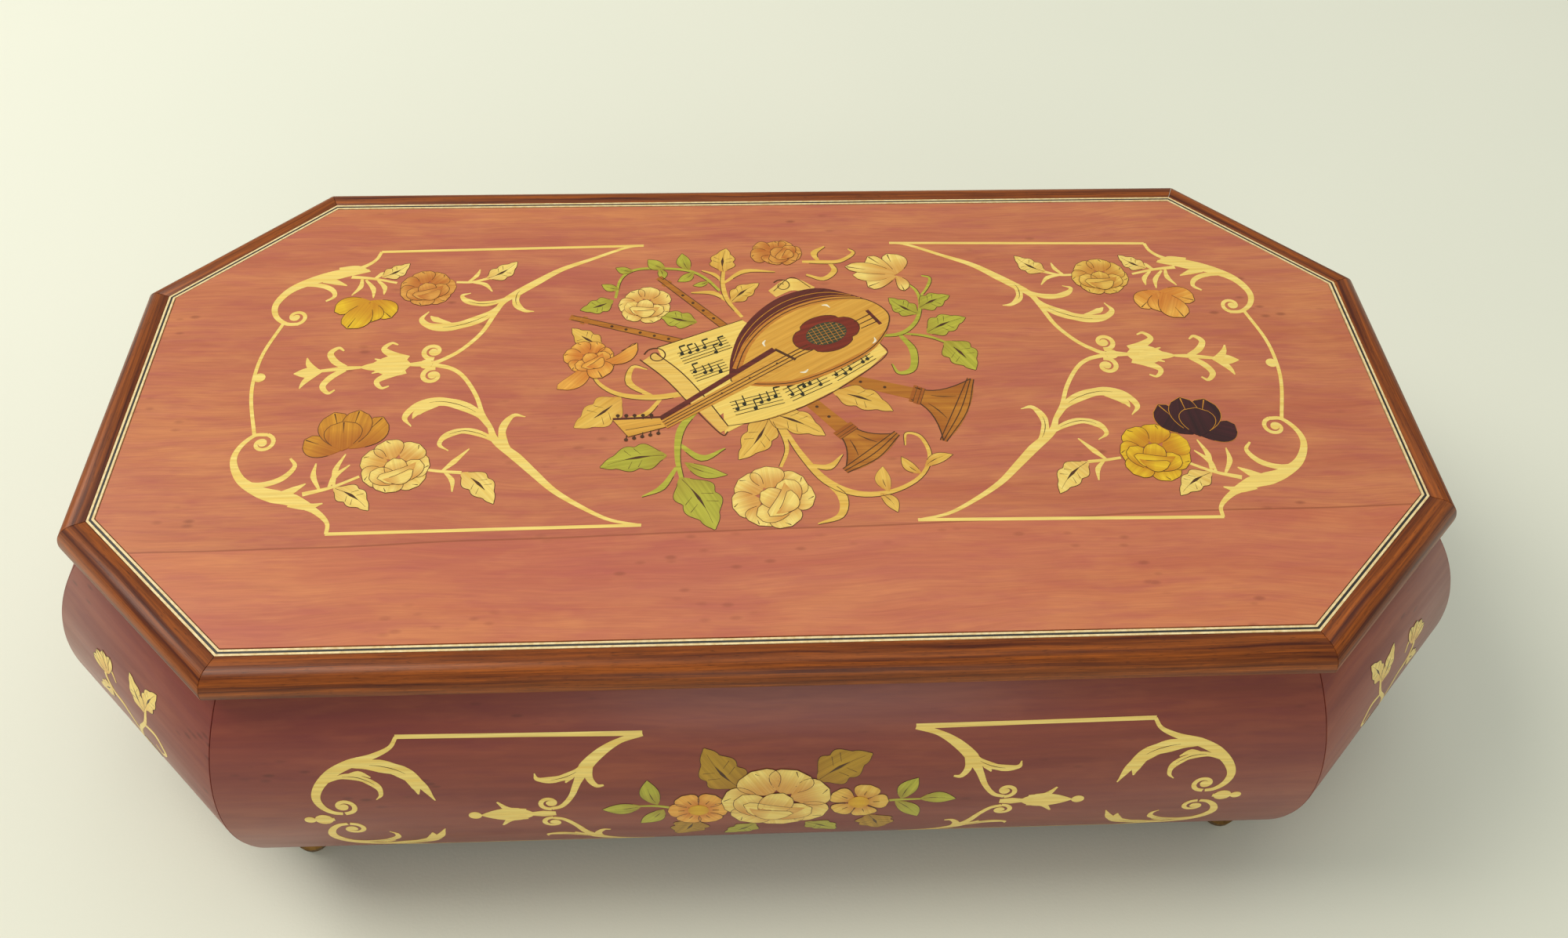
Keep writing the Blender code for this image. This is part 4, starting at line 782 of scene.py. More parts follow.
def rose(wood, centre, size, seed, flat=0.9, level=3, burn=0.9):
    """A full rose: round lobes behind, then a cup of three petals with one folded across its front."""
    pick = random.Random(seed)
    lean = -70 + pick.uniform(-45, 45)

    def petal(base, tip, wide, height, until, bend=0.0):
        blade(wood, base, tip, wide * size, height, bend=bend, full=0.62, point=0.42, burn=burn, until=until,
              line=0.13)

    for i in range(7):
        angle = lean + 360 * (i + 0.5) / 7 + pick.uniform(-7, 7)
        reach = 0.49 * size * pick.uniform(0.92, 1.05)
        petal(toward(centre, angle, 0.12 * size, flat), toward(centre, angle, reach, flat), 0.40,
              level + 0.5 * i, 0.74)
        nick = [toward(centre, angle, 0.96 * reach, flat), toward(centre, angle - 6, 0.84 * reach, flat)]
        ribbon("ink", nick, [0.24, 0.08], level + 0.5 * i + 0.4)
    cup = toward(centre, lean, 0.07 * size, flat)
    foot = toward(cup, lean, 0.24 * size, flat)
    for i, side in enumerate((-46, 46, 0)):
        petal(foot, toward(foot, lean + 180 + side, 0.45 * size, flat), 0.30, level + 5 + i, 0.8)
    petal(toward(cup, lean + 100, 0.27 * size, flat), toward(cup, lean - 75, 0.27 * size, flat), 0.25,
          level + 8.5, 0.5, bend=0.2)
    petal(toward(cup, lean - 60, 0.22 * size, flat), toward(cup, lean + 70, 0.22 * size, flat), 0.19,
          level + 10, 0.5, bend=-0.22)


def side_petals(wood, petals, level=4, burn=0.7):
    """Petals of a flower seen from the side, each given as (base, tip, width, bend), back ones first."""
    for i, (base, tip, wide, bend) in enumerate(petals):
        blade(wood, base, tip, wide, level + 1.2 * i, bend=bend, full=0.62, point=0.45, burn=burn, until=0.7,
              line=0.14)
        start, end = Vector(base), Vector(tip)
        ribbon(pencil(wood), [start.lerp(end, 0.97), start.lerp(end, 0.6)], [0.3, 0.06],
               level + 1.2 * i + 0.6)


def daisy(wood, heart, centre, radius, petals, seed, level=3):
    """A simple open flower with a round yellow heart."""
    pick = random.Random(seed)
    for i in range(petals):
        angle = 360 * i / petals + pick.uniform(-4, 4)
        tip = toward(centre, angle, radius * pick.uniform(0.95, 1.05))
        blade(wood, toward(centre, angle, 0.2 * radius), tip, radius * 0.84, level + 0.5 * i, full=0.68,
              point=0.42, burn=0.7, until=0.6, line=0.17)
        ribbon("ink", [toward(centre, angle, radius * 0.66), toward(centre, angle, radius * 0.45)],
               [0.08, 0.2], level + 5)
    disc(heart, centre, radius * 0.34, level + 6, 0.5)


def leaf(wood, base, tip, width, level=2, bend=0.06, vein=0.2, burn=0.3):
    """A broad leaf with three rounded lobes on each side and a cut along its middle."""
    blade(wood, base, tip, 1.26 * width, level, bend=bend, full=0.38, point=0.86, lobes=3, burn=burn,
          until=0.4, line=0.13, vein=vein)


def stem(wood, points, widths, level=1):
    """A stem with an engraved line along its shadow side."""
    ribbon(wood, points, widths, level)
    curve = smooth(points)
    edge = []
    for i, place in enumerate(curve):
        ahead = way_at(curve, i)
        side = Vector((ahead.y, -ahead.x)).normalized()
        edge.append((place, side * along_list(widths, i / (len(curve) - 1)) / 2))
    sense = -1 if sum(side.y for place, side in edge) > 0 else 1
    ribbon("ink", [place + sense * side for place, side in edge[2:]], 0.17, level + 0.5, steps=1)


def frond(wood, points, width, level=1):
    """A scroll leaf: a strip that swells beyond its start and has three lobes before its tip."""
    count = 14
    widths = [max(0.25, width * (math.sin(math.pi * min(1.0, (i / count) ** 0.8)) ** 0.9)
                  * (0.80 + 0.20 * abs(math.cos(3.5 * math.pi * i / count)))) for i in range(count + 1)]
    widths[0] = max(widths[0], 0.6)
    ribbon(wood, points, widths, level, steps=6)
    curve = smooth(points)
    ribbon("ink", curve[len(curve) // 5:3 * len(curve) // 5], [0.06, 0.2, 0.06], level + 0.6, steps=1)


# %% [markdown]
# ### Scrolled frames on the lid
#
# Two matching frames hold the ends of the lid. Each is one long pale line that swells into scroll leaves,
# winds into volutes and carries a row of small tulips on its inner joint. Only the left one is drawn; the
# right one is the same drawing turned over, with other flowers.


# %% A scrolled frame
def scrolled_frame():
    """The left frame's lines, leaves and volutes."""
    pale = "cream"
    ribbon(pale, [(-95.7, 50.8), (-29.6, 52.1)], 0.85)
    ribbon(pale, [(-94.0, -39.8), (-27.7, -39.0)], 0.85)
    ribbon(pale, [(-29.6, 52.1), (-34.2, 51.3), (-42.5, 47.1), (-50, 43.2), (-55.8, 38.5), (-60, 34.9),
                  (-63.3, 31.7), (-65, 27.5), (-67.5, 20.8), (-71.7, 15), (-75.8, 11.7), (-77.9, 10.6)],
           [0.5, 0.8, 1.0, 1.5, 2.1, 2.2, 1.6, 1.2, 1.0, 1.0, 1.1, 1.3], 1.2)
    ribbon(pale, [(-27.7, -39), (-34.2, -37.5), (-40, -34.2), (-46.7, -29.2), (-51.7, -23.8),
                  (-55.8, -19.2), (-60.8, -14.2), (-62.5, -10), (-64.6, -5.8), (-66.7, 0), (-70, 5.8),
                  (-73.3, 8.8), (-77.9, 10.2)],
           [0.5, 0.8, 1.0, 1.4, 1.9, 2.3, 1.8, 1.2, 1.0, 1.0, 1.0, 1.1, 1.3], 1.2)
    # Scroll leaves that leave the upper and the lower curve
    frond(pale, [(-57, 37), (-60, 35), (-60.2, 31), (-58, 28.4), (-55.6, 28)], 2.0)
    frond(pale, [(-60.5, 34.5), (-65, 31.6), (-69, 31.0), (-72.4, 32.2), (-73.6, 34), (-71.6, 34.9)], 1.9)
    frond(pale, [(-62.8, 32), (-66, 27.6), (-70, 24.8), (-75, 23.0), (-79.8, 23.2), (-82.4, 25.6),
                 (-81, 28.4)], 3.0)
    ribbon(pale, [(-75, 24), (-79, 25.6), (-80.4, 26.8)], [0.6, 1.8, 0.3], 1.1)
    frond(pale, [(-55.5, -19.5), (-58.8, -15), (-59.6, -10.4), (-57.6, -6.6), (-54.8, -7)], 2.0)
    frond(pale, [(-58, -17), (-63, -12.8), (-68, -11), (-72, -12.4), (-73.2, -15), (-71, -16.9)], 2.0)
    frond(pale, [(-62.5, -10.5), (-65.4, -6), (-70, -3.0), (-75, -1.8), (-79.8, -3.2), (-82, -6.6),
                 (-80.2, -9.4)], 3.0)
    ribbon(pale, [(-75, -3.0), (-79.2, -5.0), (-80.2, -7)], [0.6, 1.9, 0.3], 1.1)
    # The joint and its row of tulips
    volute(pale, (-78.2, 14.6), 2.6, -80, -1.3, [1.3, 1.0, 0.8])
    volute(pale, (-77.5, 6.5), 2.6, 80, 1.3, [1.3, 1.0, 0.8])
    disc(pale, (-79.4, 10.4), 1.5, 1.3)
    ribbon(pale, [(-79.5, 10.5), (-83.3, 10.3)], [2.0, 1.0])
    blade(pale, (-82.8, 10.3), (-92.6, 9.9), 6.6, 1.2, full=0.42, point=0.8)
    ribbon(pale, [(-84, 12), (-87.2, 13.4), (-89.9, 15.6), (-88.4, 17.6), (-86.8, 17)],
           [2.6, 2.2, 1.4, 0.8, 0.4])
    ribbon(pale, [(-84, 8.6), (-87.2, 7.2), (-90, 5), (-88.7, 2.8), (-87, 3.4)], [2.6, 2.2, 1.4, 0.8, 0.4])
    blade(pale, (-87, 10), (-94.8, 9.6), 2.6, 1.4)
    for spot in ((-91.6, 12.4), (-91.6, 7.6)):
        ribbon(pale, [(-86, 10), ((-86 + spot[0]) / 2, (10 + spot[1]) / 2), spot], [1.6, 1.4, 0.3], 1.3)
    ribbon(pale, [(-94.4, 9.6), (-98.4, 9.3), (-103.6, 8.6)], [0.8, 1.4, 0.9])
    for lift in (1, -1):
        ribbon(pale, [(-98, 9.3 + lift * 0.3), (-100.8, 9.1 + lift * 2.6), (-102.2, 9 + lift * 5.4),
                      (-100.6, 8.8 + lift * 7.4), (-99.2, 8.8 + lift * 6.4)], [1.4, 1.7, 1.5, 0.9, 0.4])
        ribbon(pale, [(-104.6, 8.2), (-106.6, 8 + lift * 2.8), (-107.4, 8 + lift * 5.0)], [2.2, 1.4, 0.3])
    blade(pale, (-103.0, 8.4), (-109.6, 7.8), 3.4, 1.2, full=0.45)
    # Outer side with its bead, and the two outer scrolls
    ribbon(pale, [(-115.2, 25), (-117.9, 15), (-118.4, 6.7), (-117.5, -0.8), (-114.6, -11.3)], 0.85)
    disc(pale, (-117.2, 6.7), 1.4, 1.2)
    ribbon(pale, [(-97.7, 43.7), (-105, 42.4), (-110.8, 40.2), (-115.8, 36.7), (-118.3, 31.7),
                  (-117.5, 27.5), (-114.6, 24.8), (-111.6, 24.6)],
           [1.0, 3.5, 2.8, 2.1, 1.6, 1.3, 1.1, 1.0], 1.1)
    volute(pale, (-112.6, 27.0), 2.5, -75, 1.1, [1.0, 0.9, 0.7])
    ribbon(pale, [(-105, 43.6), (-100.8, 44.6), (-97.4, 43.4)], [2.8, 2.0, 0.3])
    ribbon(pale, [(-108, 40.6), (-105, 39.4), (-102.3, 38.2)], [2.6, 1.7, 0.3])
    ribbon(pale, [(-113, 38.4), (-109, 38.4), (-105.8, 36.8), (-104.7, 34.4), (-106.5, 32.6)],
           [0.6, 1.5, 1.4, 1.0, 0.5])
    ribbon(pale, [(-101.7, 43.6), (-98.4, 45.8), (-96.5, 48.0), (-95.7, 50.8)], [1.6, 1.0, 0.85, 0.85])
    ribbon(pale, [(-93.8, -39.8), (-94.2, -36.7), (-97.5, -33.3), (-102.5, -30.4), (-106.7, -29.2),
                  (-110.8, -27.5), (-115, -24.2), (-117.5, -19.2), (-117.1, -15), (-114.6, -11.5),
                  (-111.7, -11.2)], [0.85, 0.9, 1.5, 3.2, 3.6, 2.7, 2.0, 1.5, 1.2, 1.0, 1.0], 1.1)
    volute(pale, (-112.3, -13.8), 2.7, 78, -1.15, [1.0, 0.9, 0.7])
    ribbon(pale, [(-105, -29.0), (-102.8, -27.4), (-100.6, -25.8)], [2.6, 1.7, 0.3])
    ribbon(pale, [(-103, -31), (-99, -32.2), (-96.0, -31.4)], [2.6, 1.9, 0.3])
    ribbon(pale, [(-114, -25.2), (-110, -25.9), (-106, -24.2), (-103.9, -20.8), (-105.3, -18.4)],
           [0.6, 1.5, 1.5, 1.0, 0.5])


def frame_sprigs():
    """Thin stems with small leaves beside the flowers of a frame."""
    pale = "cream"
    ribbon(pale, [(-101.7, 41.4), (-96, 40.6), (-90.2, 39.0)], [1.2, 0.8, 0.7])
    ribbon(pale, [(-96, 40.4), (-94.4, 42.4), (-93.6, 43)], [0.8, 1.2, 0.3])
    leaf(pale, (-94.2, 41.2), (-88.0, 46.2), 3.8, bend=-0.08)
    for start, end in (((-99, 40.8), (-100.6, 34.6)), ((-98, 40.2), (-95.2, 33.6)),
                       ((-95, 40), (-92.8, 34.8))):
        ribbon(pale, [start, ((start[0] + end[0]) / 2 + 0.9, (start[1] + end[1]) / 2), end], [0.6, 1.3, 0.3])
    ribbon(pale, [(-75.6, 39.0), (-71.5, 39.0), (-67.6, 40.4)], [0.7, 0.8, 0.9])
    leaf(pale, (-68.2, 40.2), (-61.2, 46.4), 4.2, bend=-0.08)
    ribbon(pale, [(-72.6, 39.0), (-70.8, 41.4), (-70.2, 43.6)], [0.6, 1.1, 0.3])
    ribbon(pale, [(-71.8, 39.0), (-68.4, 38.0), (-66.4, 35.4)], [0.6, 1.2, 0.3])
    ribbon(pale, [(-100.8, -28.8), (-95.0, -27.0), (-89.4, -24.0)], [1.2, 0.8, 0.7])
    for start, end in (((-94.5, -26.6), (-93.4, -17.4)), ((-97.5, -27.4), (-99.4, -20)),
                       ((-95.5, -26.8), (-92.0, -20.6))):
        ribbon(pale, [start, ((start[0] + end[0]) / 2 - 0.9, (start[1] + end[1]) / 2), end], [0.6, 1.3, 0.3])
    leaf(pale, (-94.4, -27.2), (-86.0, -33.6), 4.4, bend=0.08)
    ribbon(pale, [(-75.0, -22.4), (-71.4, -23.0), (-67.4, -23.4)], [0.7, 0.8, 0.9])
    leaf(pale, (-67.4, -23.4), (-59.6, -32.4), 4.8, bend=0.08)
    ribbon(pale, [(-71.6, -22.8), (-69.4, -20.2), (-66.4, -16.4)], [0.6, 1.4, 0.3])
    ribbon(pale, [(-71.0, -23.2), (-69.2, -25.6), (-68.8, -28.8)], [0.6, 1.2, 0.3])


def hanging_flowers(upper, lower, burn):
    """The upper flower hangs from its stem, and the lower one stands on its own."""
    side_petals(upper, [((-95.6, 32.6), (-89.8, 26.4), 6.0, 0.1), ((-95.6, 32.4), (-103.8, 28.8), 5.6, -0.1),
                        ((-95.4, 32.0), (-94.4, 25.0), 6.0, 0.0), ((-96.2, 32.0), (-99.8, 22.8), 7.0, 0.05)])
    side_petals(lower, [((-94.8, -16.4), (-103.2, -13.0), 6.0, 0.1),
                        ((-93.0, -15.8), (-86.8, -6.4), 6.4, -0.12),
                        ((-94.2, -16.0), (-98.0, -4.8), 7.4, 0.06),
                        ((-93.8, -16.0), (-92.4, -4.2), 7.0, -0.05),
                        ((-94.4, -16.4), (-95.4, -7.6), 8.4, 0.0)], 4, burn)


# %% Lay the two frames
scrolled_frame()
frame_sprigs()
hanging_flowers("yellow", "mustard", 0.7)
rose("brown", (-82.6, 37.0), 14.8, 11, 0.88)
rose("cream", (-82.0, -21.2), 16.6, 12, 1.0)
pen["place"] = lambda x, y: (3.8 - x, y)
scrolled_frame()
frame_sprigs()
hanging_flowers("orange", "plum", 0.2)
pen["place"] = lambda x, y: (x, y)
rose("tan", (85.6, 38.2), 15.6, 13, 0.86)
rose("yellow", (86.8, -20.8), 17.2, 14, 1.05)
print("drawn for the frames:", {wood: len(sheet["faces"]) for wood, sheet in drawing.items()})

# %% [markdown]
# ### The trophy in the middle of the lid
#
# The middle holds a mandolin lying on two sheets of music, with two pipes and two shawms behind it, in a
# wreath of flowers. Such a group is called a trophy. It is drawn from the back to the front, and each piece
# has its own layer, as the saw cut it. The tunes on the sheets are made-up dots and stems.


# %% Helpers for instruments
def across(start, end):
    """The unit way along a line, and the way to its left."""
    ahead = (Vector(end) - Vector(start)).normalized()
    return ahead, Vector((-ahead.y, ahead.x))


def pipe(start, end, width, holes, level=1):
    """A slim recorder with a turned head at its start and finger holes."""
    ahead, side = across(start, end)
    start, end = Vector(start), Vector(end)
    ribbon("pipe", [start, end], [0.7 * width, width, 1.15 * width, 1.15 * width], level, scorch=0.15)
    for place, size in ((0.0, 0.9), (0.05, 0.7), (0.10, 1.3), (0.13, 0.9)):
        spot = start.lerp(end, place)
        ribbon("pipe", [spot - side * size, spot + side * size], 1.1, level + 0.4, scorch=0.35)
    for i in range(holes):
        disc("ink", start.lerp(end, 0.34 + 0.6 * i / holes), 0.4, level + 1)
    for sense in (-1, 1):
        ribbon("ink", [start + side * sense * width * 0.42, end + side * sense * width * 0.56], 0.2,
               level + 0.9)


def shawm(start, throat, rim_a, rim_b, level=1):
    """A reed pipe that flares to a turned bell; the rim's two ends are given."""
    start, throat, rim_a, rim_b = [Vector(p) for p in (start, throat, rim_a, rim_b)]
    ahead, side = across(start, throat)
    ribbon("pipe", [start, throat], [3.2, 3.4, 3.8], level, scorch=[0.3, 0.1, 0.2])
    middle = (rim_a + rim_b) / 2
    half = (rim_a - rim_b).length / 2
    rows, marks = [], []
    for i in range(9):
        t = i / 8
        spot = throat.lerp(middle, t)
        reach = 2.0 + (half - 2.0) * t ** 2.2
        lean = (rim_a - rim_b).normalized().lerp(side if (rim_a - rim_b).dot(side) > 0 else -side, 1 - t)
        lean.normalize()
        rows.append([tuple(spot + lean * reach * k) for k in (-1, -0.5, 0, 0.5, 1)])
        marks.append([0.75 * t + 0.1, 0.35 * t, 0.0, 0.35 * t, 0.75 * t + 0.1])
    patch("pipe", rows, level + 0.3, marks)
    for edge in ([row[0] for row in rows], [row[4] for row in rows]):
        ribbon("ink", edge, 0.3, level + 0.5, steps=1)
    for share in (-0.45, 0.45):
        edge = 4 if share > 0 else 0
        groove = [Vector(row[2]).lerp(Vector(row[edge]), abs(share)) for row in rows[3:8]]
        ribbon("ink", groove, [0.1, 0.32, 0.1], level + 0.6, steps=1)
    rim = [rows[-1][0], tuple(middle + ahead * 0.8), rows[-1][4]]
    ribbon("pipe", rim, [1.6, 3.2, 3.4, 3.2, 1.6], level + 0.6, scorch=[0.5, 0.1, 0.0, 0.1, 0.5])
    for shift in (-1.5, 0.0, 1.5):
        edge = [tuple(Vector(p) + ahead * shift * k) for p, k in zip(rim, (0.5, 1.0, 0.5))]
        ribbon("ink", edge, 0.26, level + 1)
    for place in (0.0, 0.10, 0.17):
        spot = throat.lerp(middle, place)
        ribbon("pipe", [spot - side * 2.7, spot + side * 2.7], 0.9, level + 0.8, scorch=0.8)
        ribbon("ink", [spot - side * 2.6 + ahead * 0.5, spot + side * 2.6 + ahead * 0.5], 0.14, level + 1.2)
    for i in range(2):
        disc("ink", start.lerp(throat, 0.35 + 0.3 * i), 0.4, level + 1)


def stave(corner, way, long, lines, gap, seed, level):
    """Five ruled lines and a made-up tune of dots, stems and beams."""
    pick = random.Random(seed)
    ahead = Vector(way).normalized()
    down = Vector((ahead.y, -ahead.x))
    corner = Vector(corner)
    for i in range(lines):
        start = corner + down * gap * i
        ribbon("music", [start, start + ahead * long], 0.2, level)
    place = gap
    while place < long - 1.2:
        head = corner + ahead * place + down * gap * pick.uniform(0.6, lines - 1.2)
        tail = head - down * gap * 2.6
        disc("music", head, 0.5, level + 0.3)
        ribbon("music", [head + ahead * 0.35, tail + ahead * 0.35], 0.3, level + 0.4)
        if pick.random() < 0.6:
            reach = ahead * pick.uniform(1.3, 1.9)
            ribbon("music", [tail + ahead * 0.35, tail + ahead * 0.35 + reach], 0.5, level + 0.5)
        place += pick.uniform(1.5, 2.1)


# %% Wreath behind the trophy
def wreath_greens():
    """Green and tan stems with leaves around the instruments."""
    usual = [0.5, 0.9, 0.7]
    leaf("green", (-36.5, 31.6), (-44.4, 28.2), 4.2)
    leaf("green", (-16.0, 23.4), (-25.6, 27.0), 4.6)
    stem("green", [(-36, 32.4), (-34.9, 39.4), (-31.4, 42.8), (-24.9, 43.2), (-18.1, 42.2), (-13.8, 39.2),
                   (-10.4, 34.6)], [0.7, 0.9, 0.9, 0.8])
    for base, tip, wide in (((-35.2, 35.6), (-39.6, 37.4), 2.6), ((-32.0, 42.2), (-36.4, 43.6), 2.6),
                            ((-24.0, 43.0), (-28.4, 46.6), 3.6), ((-25.4, 43.0), (-24.4, 39.0), 2.4),
                            ((-18.0, 42.4), (-19.8, 48.8), 3.6), ((-16.8, 41.6), (-20.8, 38.2), 2.8),
                            ((-13.0, 38.2), (-17.0, 36.6), 1.8)):
        blade("green", base, tip, wide, 1.6, bend=0.08, full=0.5, burn=0.4, until=0.5, line=0.12, vein=0.14)
    # Right sprig
    stem("green", [(26.6, 17.8), (33, 18.4), (37.2, 22.4), (39.0, 28.6), (38.4, 34), (35, 37.9)],
           [0.7, 1.2, 1.1, 0.9, 0.8, 0.3])
    stem("green", [(38.9, 31), (41.4, 35), (42.4, 38.4), (40.4, 39.4)], [0.6, 0.9, 0.5])
    stem("green", [(33, 18.6), (39.6, 17.4), (44.8, 14.6)], usual)
    stem("green", [(33, 18.0), (35.6, 12.8), (35.0, 6.6), (31.6, 5.2), (30.2, 8.2)],
         [1.0, 1.9, 1.7, 1.0, 0.4])
    leaf("green", (38.2, 25.4), (31.4, 31.2), 4.4)
    leaf("green", (38.6, 27.4), (46.6, 31.8), 4.6)
    leaf("green", (39.6, 18.6), (49.6, 23.8), 5.4)
    leaf("green", (43.6, 15.6), (49.8, 5.8), 6.4)
    # Lower left spray
    stem("green", [(-16.2, -5.6), (-19.6, -12), (-20.2, -20), (-19.0, -27.4)], [1.7, 1.8, 1.3, 0.9])
    leaf("green", (-22.6, -19.4), (-37.2, -22.6), 6.2, bend=-0.06)
    leaf("green", (-19.6, -26.0), (-12.0, -40.6), 7.6)
    stem("green", [(-20, -16), (-14.8, -20.4), (-9.6, -17.6)], [0.8, 1.9, 0.4])
    blade("green", (-18.6, -21.6), (-9.2, -25.4), 3.4, 1.6, bend=-0.1, burn=0.4, line=0.12, vein=0.14)
    stem("green", [(-20.4, -23), (-23.4, -28.6), (-27.8, -31.2)], [0.8, 1.6, 0.3])


def wreath_tans():
    usual = [0.8, 1.3, 0.9]
    stem("tan", [(-5, 25), (-8.4, 31), (-9.6, 37), (-9.3, 43)], usual)
    leaf("tan", (-9.4, 41.6), (-8.6, 50.6), 5.2)
    stem("tan", [(-9.4, 37.4), (-4, 41.8), (3.6, 41.4)], [0.7, 1.5, 0.4])
    stem("tan", [(-8.2, 30.6), (-12.0, 33.8), (-17.4, 34.0)], [0.8, 1.5, 0.5])
    stem("tan", [(-9.4, 37.6), (-11.6, 40.6), (-14.8, 42.2)], [0.7, 1.2, 0.4])
    leaf("tan", (-7.6, 30.4), (-0.6, 37.2), 4.2)
    stem("tan", [(10.6, 45.2), (15, 45.0), (20, 45.2), (23.8, 48.2), (22.6, 50.0)],
         [0.8, 1.4, 1.3, 1.0, 0.5])
    stem("tan", [(17.4, 44.8), (18.6, 41.6), (15.6, 38.6), (11.4, 40.2)], [0.8, 1.6, 1.4, 0.7])
    stem("tan", [(14.8, 45.2), (13.8, 48.4), (16.6, 51.0)], [0.7, 1.8, 0.5])
    stem("tan", [(-18.4, -0.4), (-26, -1.6), (-33.4, -0.6), (-38.2, 2.6), (-40.8, 7)],
         [1.6, 1.7, 1.3, 1.0, 0.7])
    leaf("tan", (-33.4, -1.4), (-43.6, -10.6), 6.8)
    stem("tan", [(-25.6, -1.6), (-31.6, 3.0), (-31.0, 8.4), (-27.6, 7.6)], [0.8, 1.7, 1.1, 0.4])
    stem("tan", [(-24, -1.6), (-27.6, -6.8), (-33, -8.2)], [0.8, 1.4, 0.3])
    leaf("tan", (-38.6, 15.8), (-46.0, 21.8), 4.4)
    leaf("tan", (-0.4, -7.0), (13.0, -14.2), 6.0)
    leaf("tan", (0.6, -8.0), (-6.6, -21.0), 6.0)
    stem("tan", [(0.7, -6.6), (3.0, -12), (4.2, -18), (2.6, -23.4)], [1.0, 1.3, 1.0, 0.8])
    leaf("tan", (15.6, -0.6), (29.0, -7.0), 5.6)
    stem("tan", [(3.6, -11.6), (7.4, -20), (12.4, -27.6), (19, -31.4), (26.6, -31.0), (33.2, -27.0),
                   (36.0, -21.0), (34.6, -15.2), (31.4, -14.0), (30.8, -17.6)],
           [1.0, 1.5, 1.9, 1.6, 1.2, 1.0, 1.0, 0.9, 0.7, 0.4])
    stem("tan", [(9, -23), (13.4, -23.6), (16.6, -20.0)], [0.8, 1.8, 0.3])
    stem("tan", [(12.6, -28), (15.8, -32.4), (15.0, -37.4), (10.0, -39.6)], [1.0, 2.2, 1.6, 0.4])
    for base, tip, wide in (((26.0, -31.0), (25.2, -23.8), 3.4), ((24.0, -31.4), (27.4, -36.8), 3.0),
                            ((34.6, -24.0), (41.2, -20.6), 3.0), ((33.6, -26.0), (29.6, -21.0), 2.6)):
        blade("tan", base, tip, wide, 1.6, bend=0.1, full=0.5, burn=0.4, until=0.5, line=0.12, vein=0.14)


wreath_greens()
wreath_tans()

# %% Flowers of the wreath
rose("cream", (-28.6, 29.8), 13.6, 21, 1.0)
rose("orange", (-41.2, 11.6), 12.6, 27, 0.95)
side_petals("orange", [((-41.4, 10.4), (-48.2, 1.6), 4.4, 0.16), ((-39.4, 10.0), (-30.2, 16.4), 3.6, -0.2),
                       ((-40.8, 10.8), (-38.0, 5.0), 6.4, 0.1)], 8)
rose("brown", (4.4, 48.8), 14.0, 22, 0.64)
side_petals("cream", [((34.2, 40.0), (32.4, 47.8), 6.0, -0.16), ((34.0, 39.8), (27.4, 46.8), 5.4, 0.1),
                      ((34.0, 39.2), (26.6, 35.4), 5.6, -0.12), ((34.0, 39.4), (35.6, 33.8), 3.2, 0.1),
                      ((33.6, 39.6), (23.2, 39.8), 3.6, 0.04), ((34.0, 40.0), (21.4, 43.0), 4.0, -0.05)])
rose("cream", (0.2, -32.0), 19.0, 23, 0.96)

# %% Pipes, shawms and sheets of music
pipe((-25.2, 39.4), (-8.4, 20.8), 1.8, 4)
pipe((-46.2, 25.6), (-17.6, 16.0), 1.8, 5)
shawm((15.8, 4.6), (34.2, -1.6), (48.2, 2.9), (39.6, -16.4))
shawm((8.6, -1.6), (17.2, -12.2), (29.3, -13.9), (16.8, -24.8))


def sheets_of_music():
    """Two curling sheets with rolled edges."""
    plate("paper", [(-25.4, 14.6), (-5.0, 23.9), (8.0, 12.0), (-12.0, -9.0), (-19.3, -1.4)], 5, 0.4)
    plate("paper", [(-9.6, -13.2), (-5.4, -10.4), (0, -8.9), (8.6, -5.0), (16.4, 0), (25, 7.1), (29.4, 12.1),
                    (27.5, 15.7), (4.0, 12.0), (-10.0, -4.0)], 6, 0.4)
    # The left edge is rolled back on itself and shows its darker inside.
    ribbon("paper", [(-27.4, 11.6), (-21.6, 5.4), (-16.0, -2.6), (-9.6, -12.2)], [4.0, 4.0, 3.4, 2.4], 7,
           scorch=[0.25, 0.1, 0.15, 0.3])
    ribbon("ink", [(-25.4, 12.6), (-19.6, 6.4), (-14.2, -1.6), (-8.8, -11.0)], 0.3, 8)
    ribbon("ink", [(-29.4, 10.8), (-23.4, 4.4), (-17.6, -3.8), (-10.6, -13.2), (-8.9, -12.6)], 0.25, 8)
    volute("ink", (-25.6, 12.0), 2.9, 170, -1.4, [0.3, 0.3, 0.25], 8.5, bead=0)
    ribbon("paper", [(2.6, 33.2), (7.6, 36.6), (12.6, 34.2)], [3.0, 4.6, 3.0], 5, scorch=[0.2, 0.0, 0.3])
    volute("ink", (5.2, 36.2), 2.4, 150, -1.3, [0.3, 0.25, 0.2], 6, bead=0)
    ribbon("ink", [(3.0, 34.2), (7.6, 39.2), (12.2, 35.4)], 0.22, 6)
    for edge in ([(-25.4, 14.8), (-5.0, 24.0)],
                 [(-8.9, -10.9), (0, -9.1), (8.6, -5.2), (16.4, -0.2), (25, 6.9), (29.4, 12.0),
                  (27.6, 15.6)]):
        ribbon("ink", edge, 0.2, 7.5)


sheets_of_music()
slope = (math.cos(math.radians(25)), math.sin(math.radians(25)))
stave((-20.6, 12.6), slope, 12.6, 5, 0.95, 31, 8)
stave((-17.6, 6.8), slope, 8.6, 5, 0.95, 32, 8)
stave((-8.4, -3.6), (0.93, 0.30), 12.0, 5, 1.05, 33, 8)
stave((4.0, 0.2), (0.86, 0.50), 11.0, 5, 1.05, 34, 8)
stave((14.4, 6.2), (0.80, 0.60), 12.0, 5, 1.05, 35, 8)


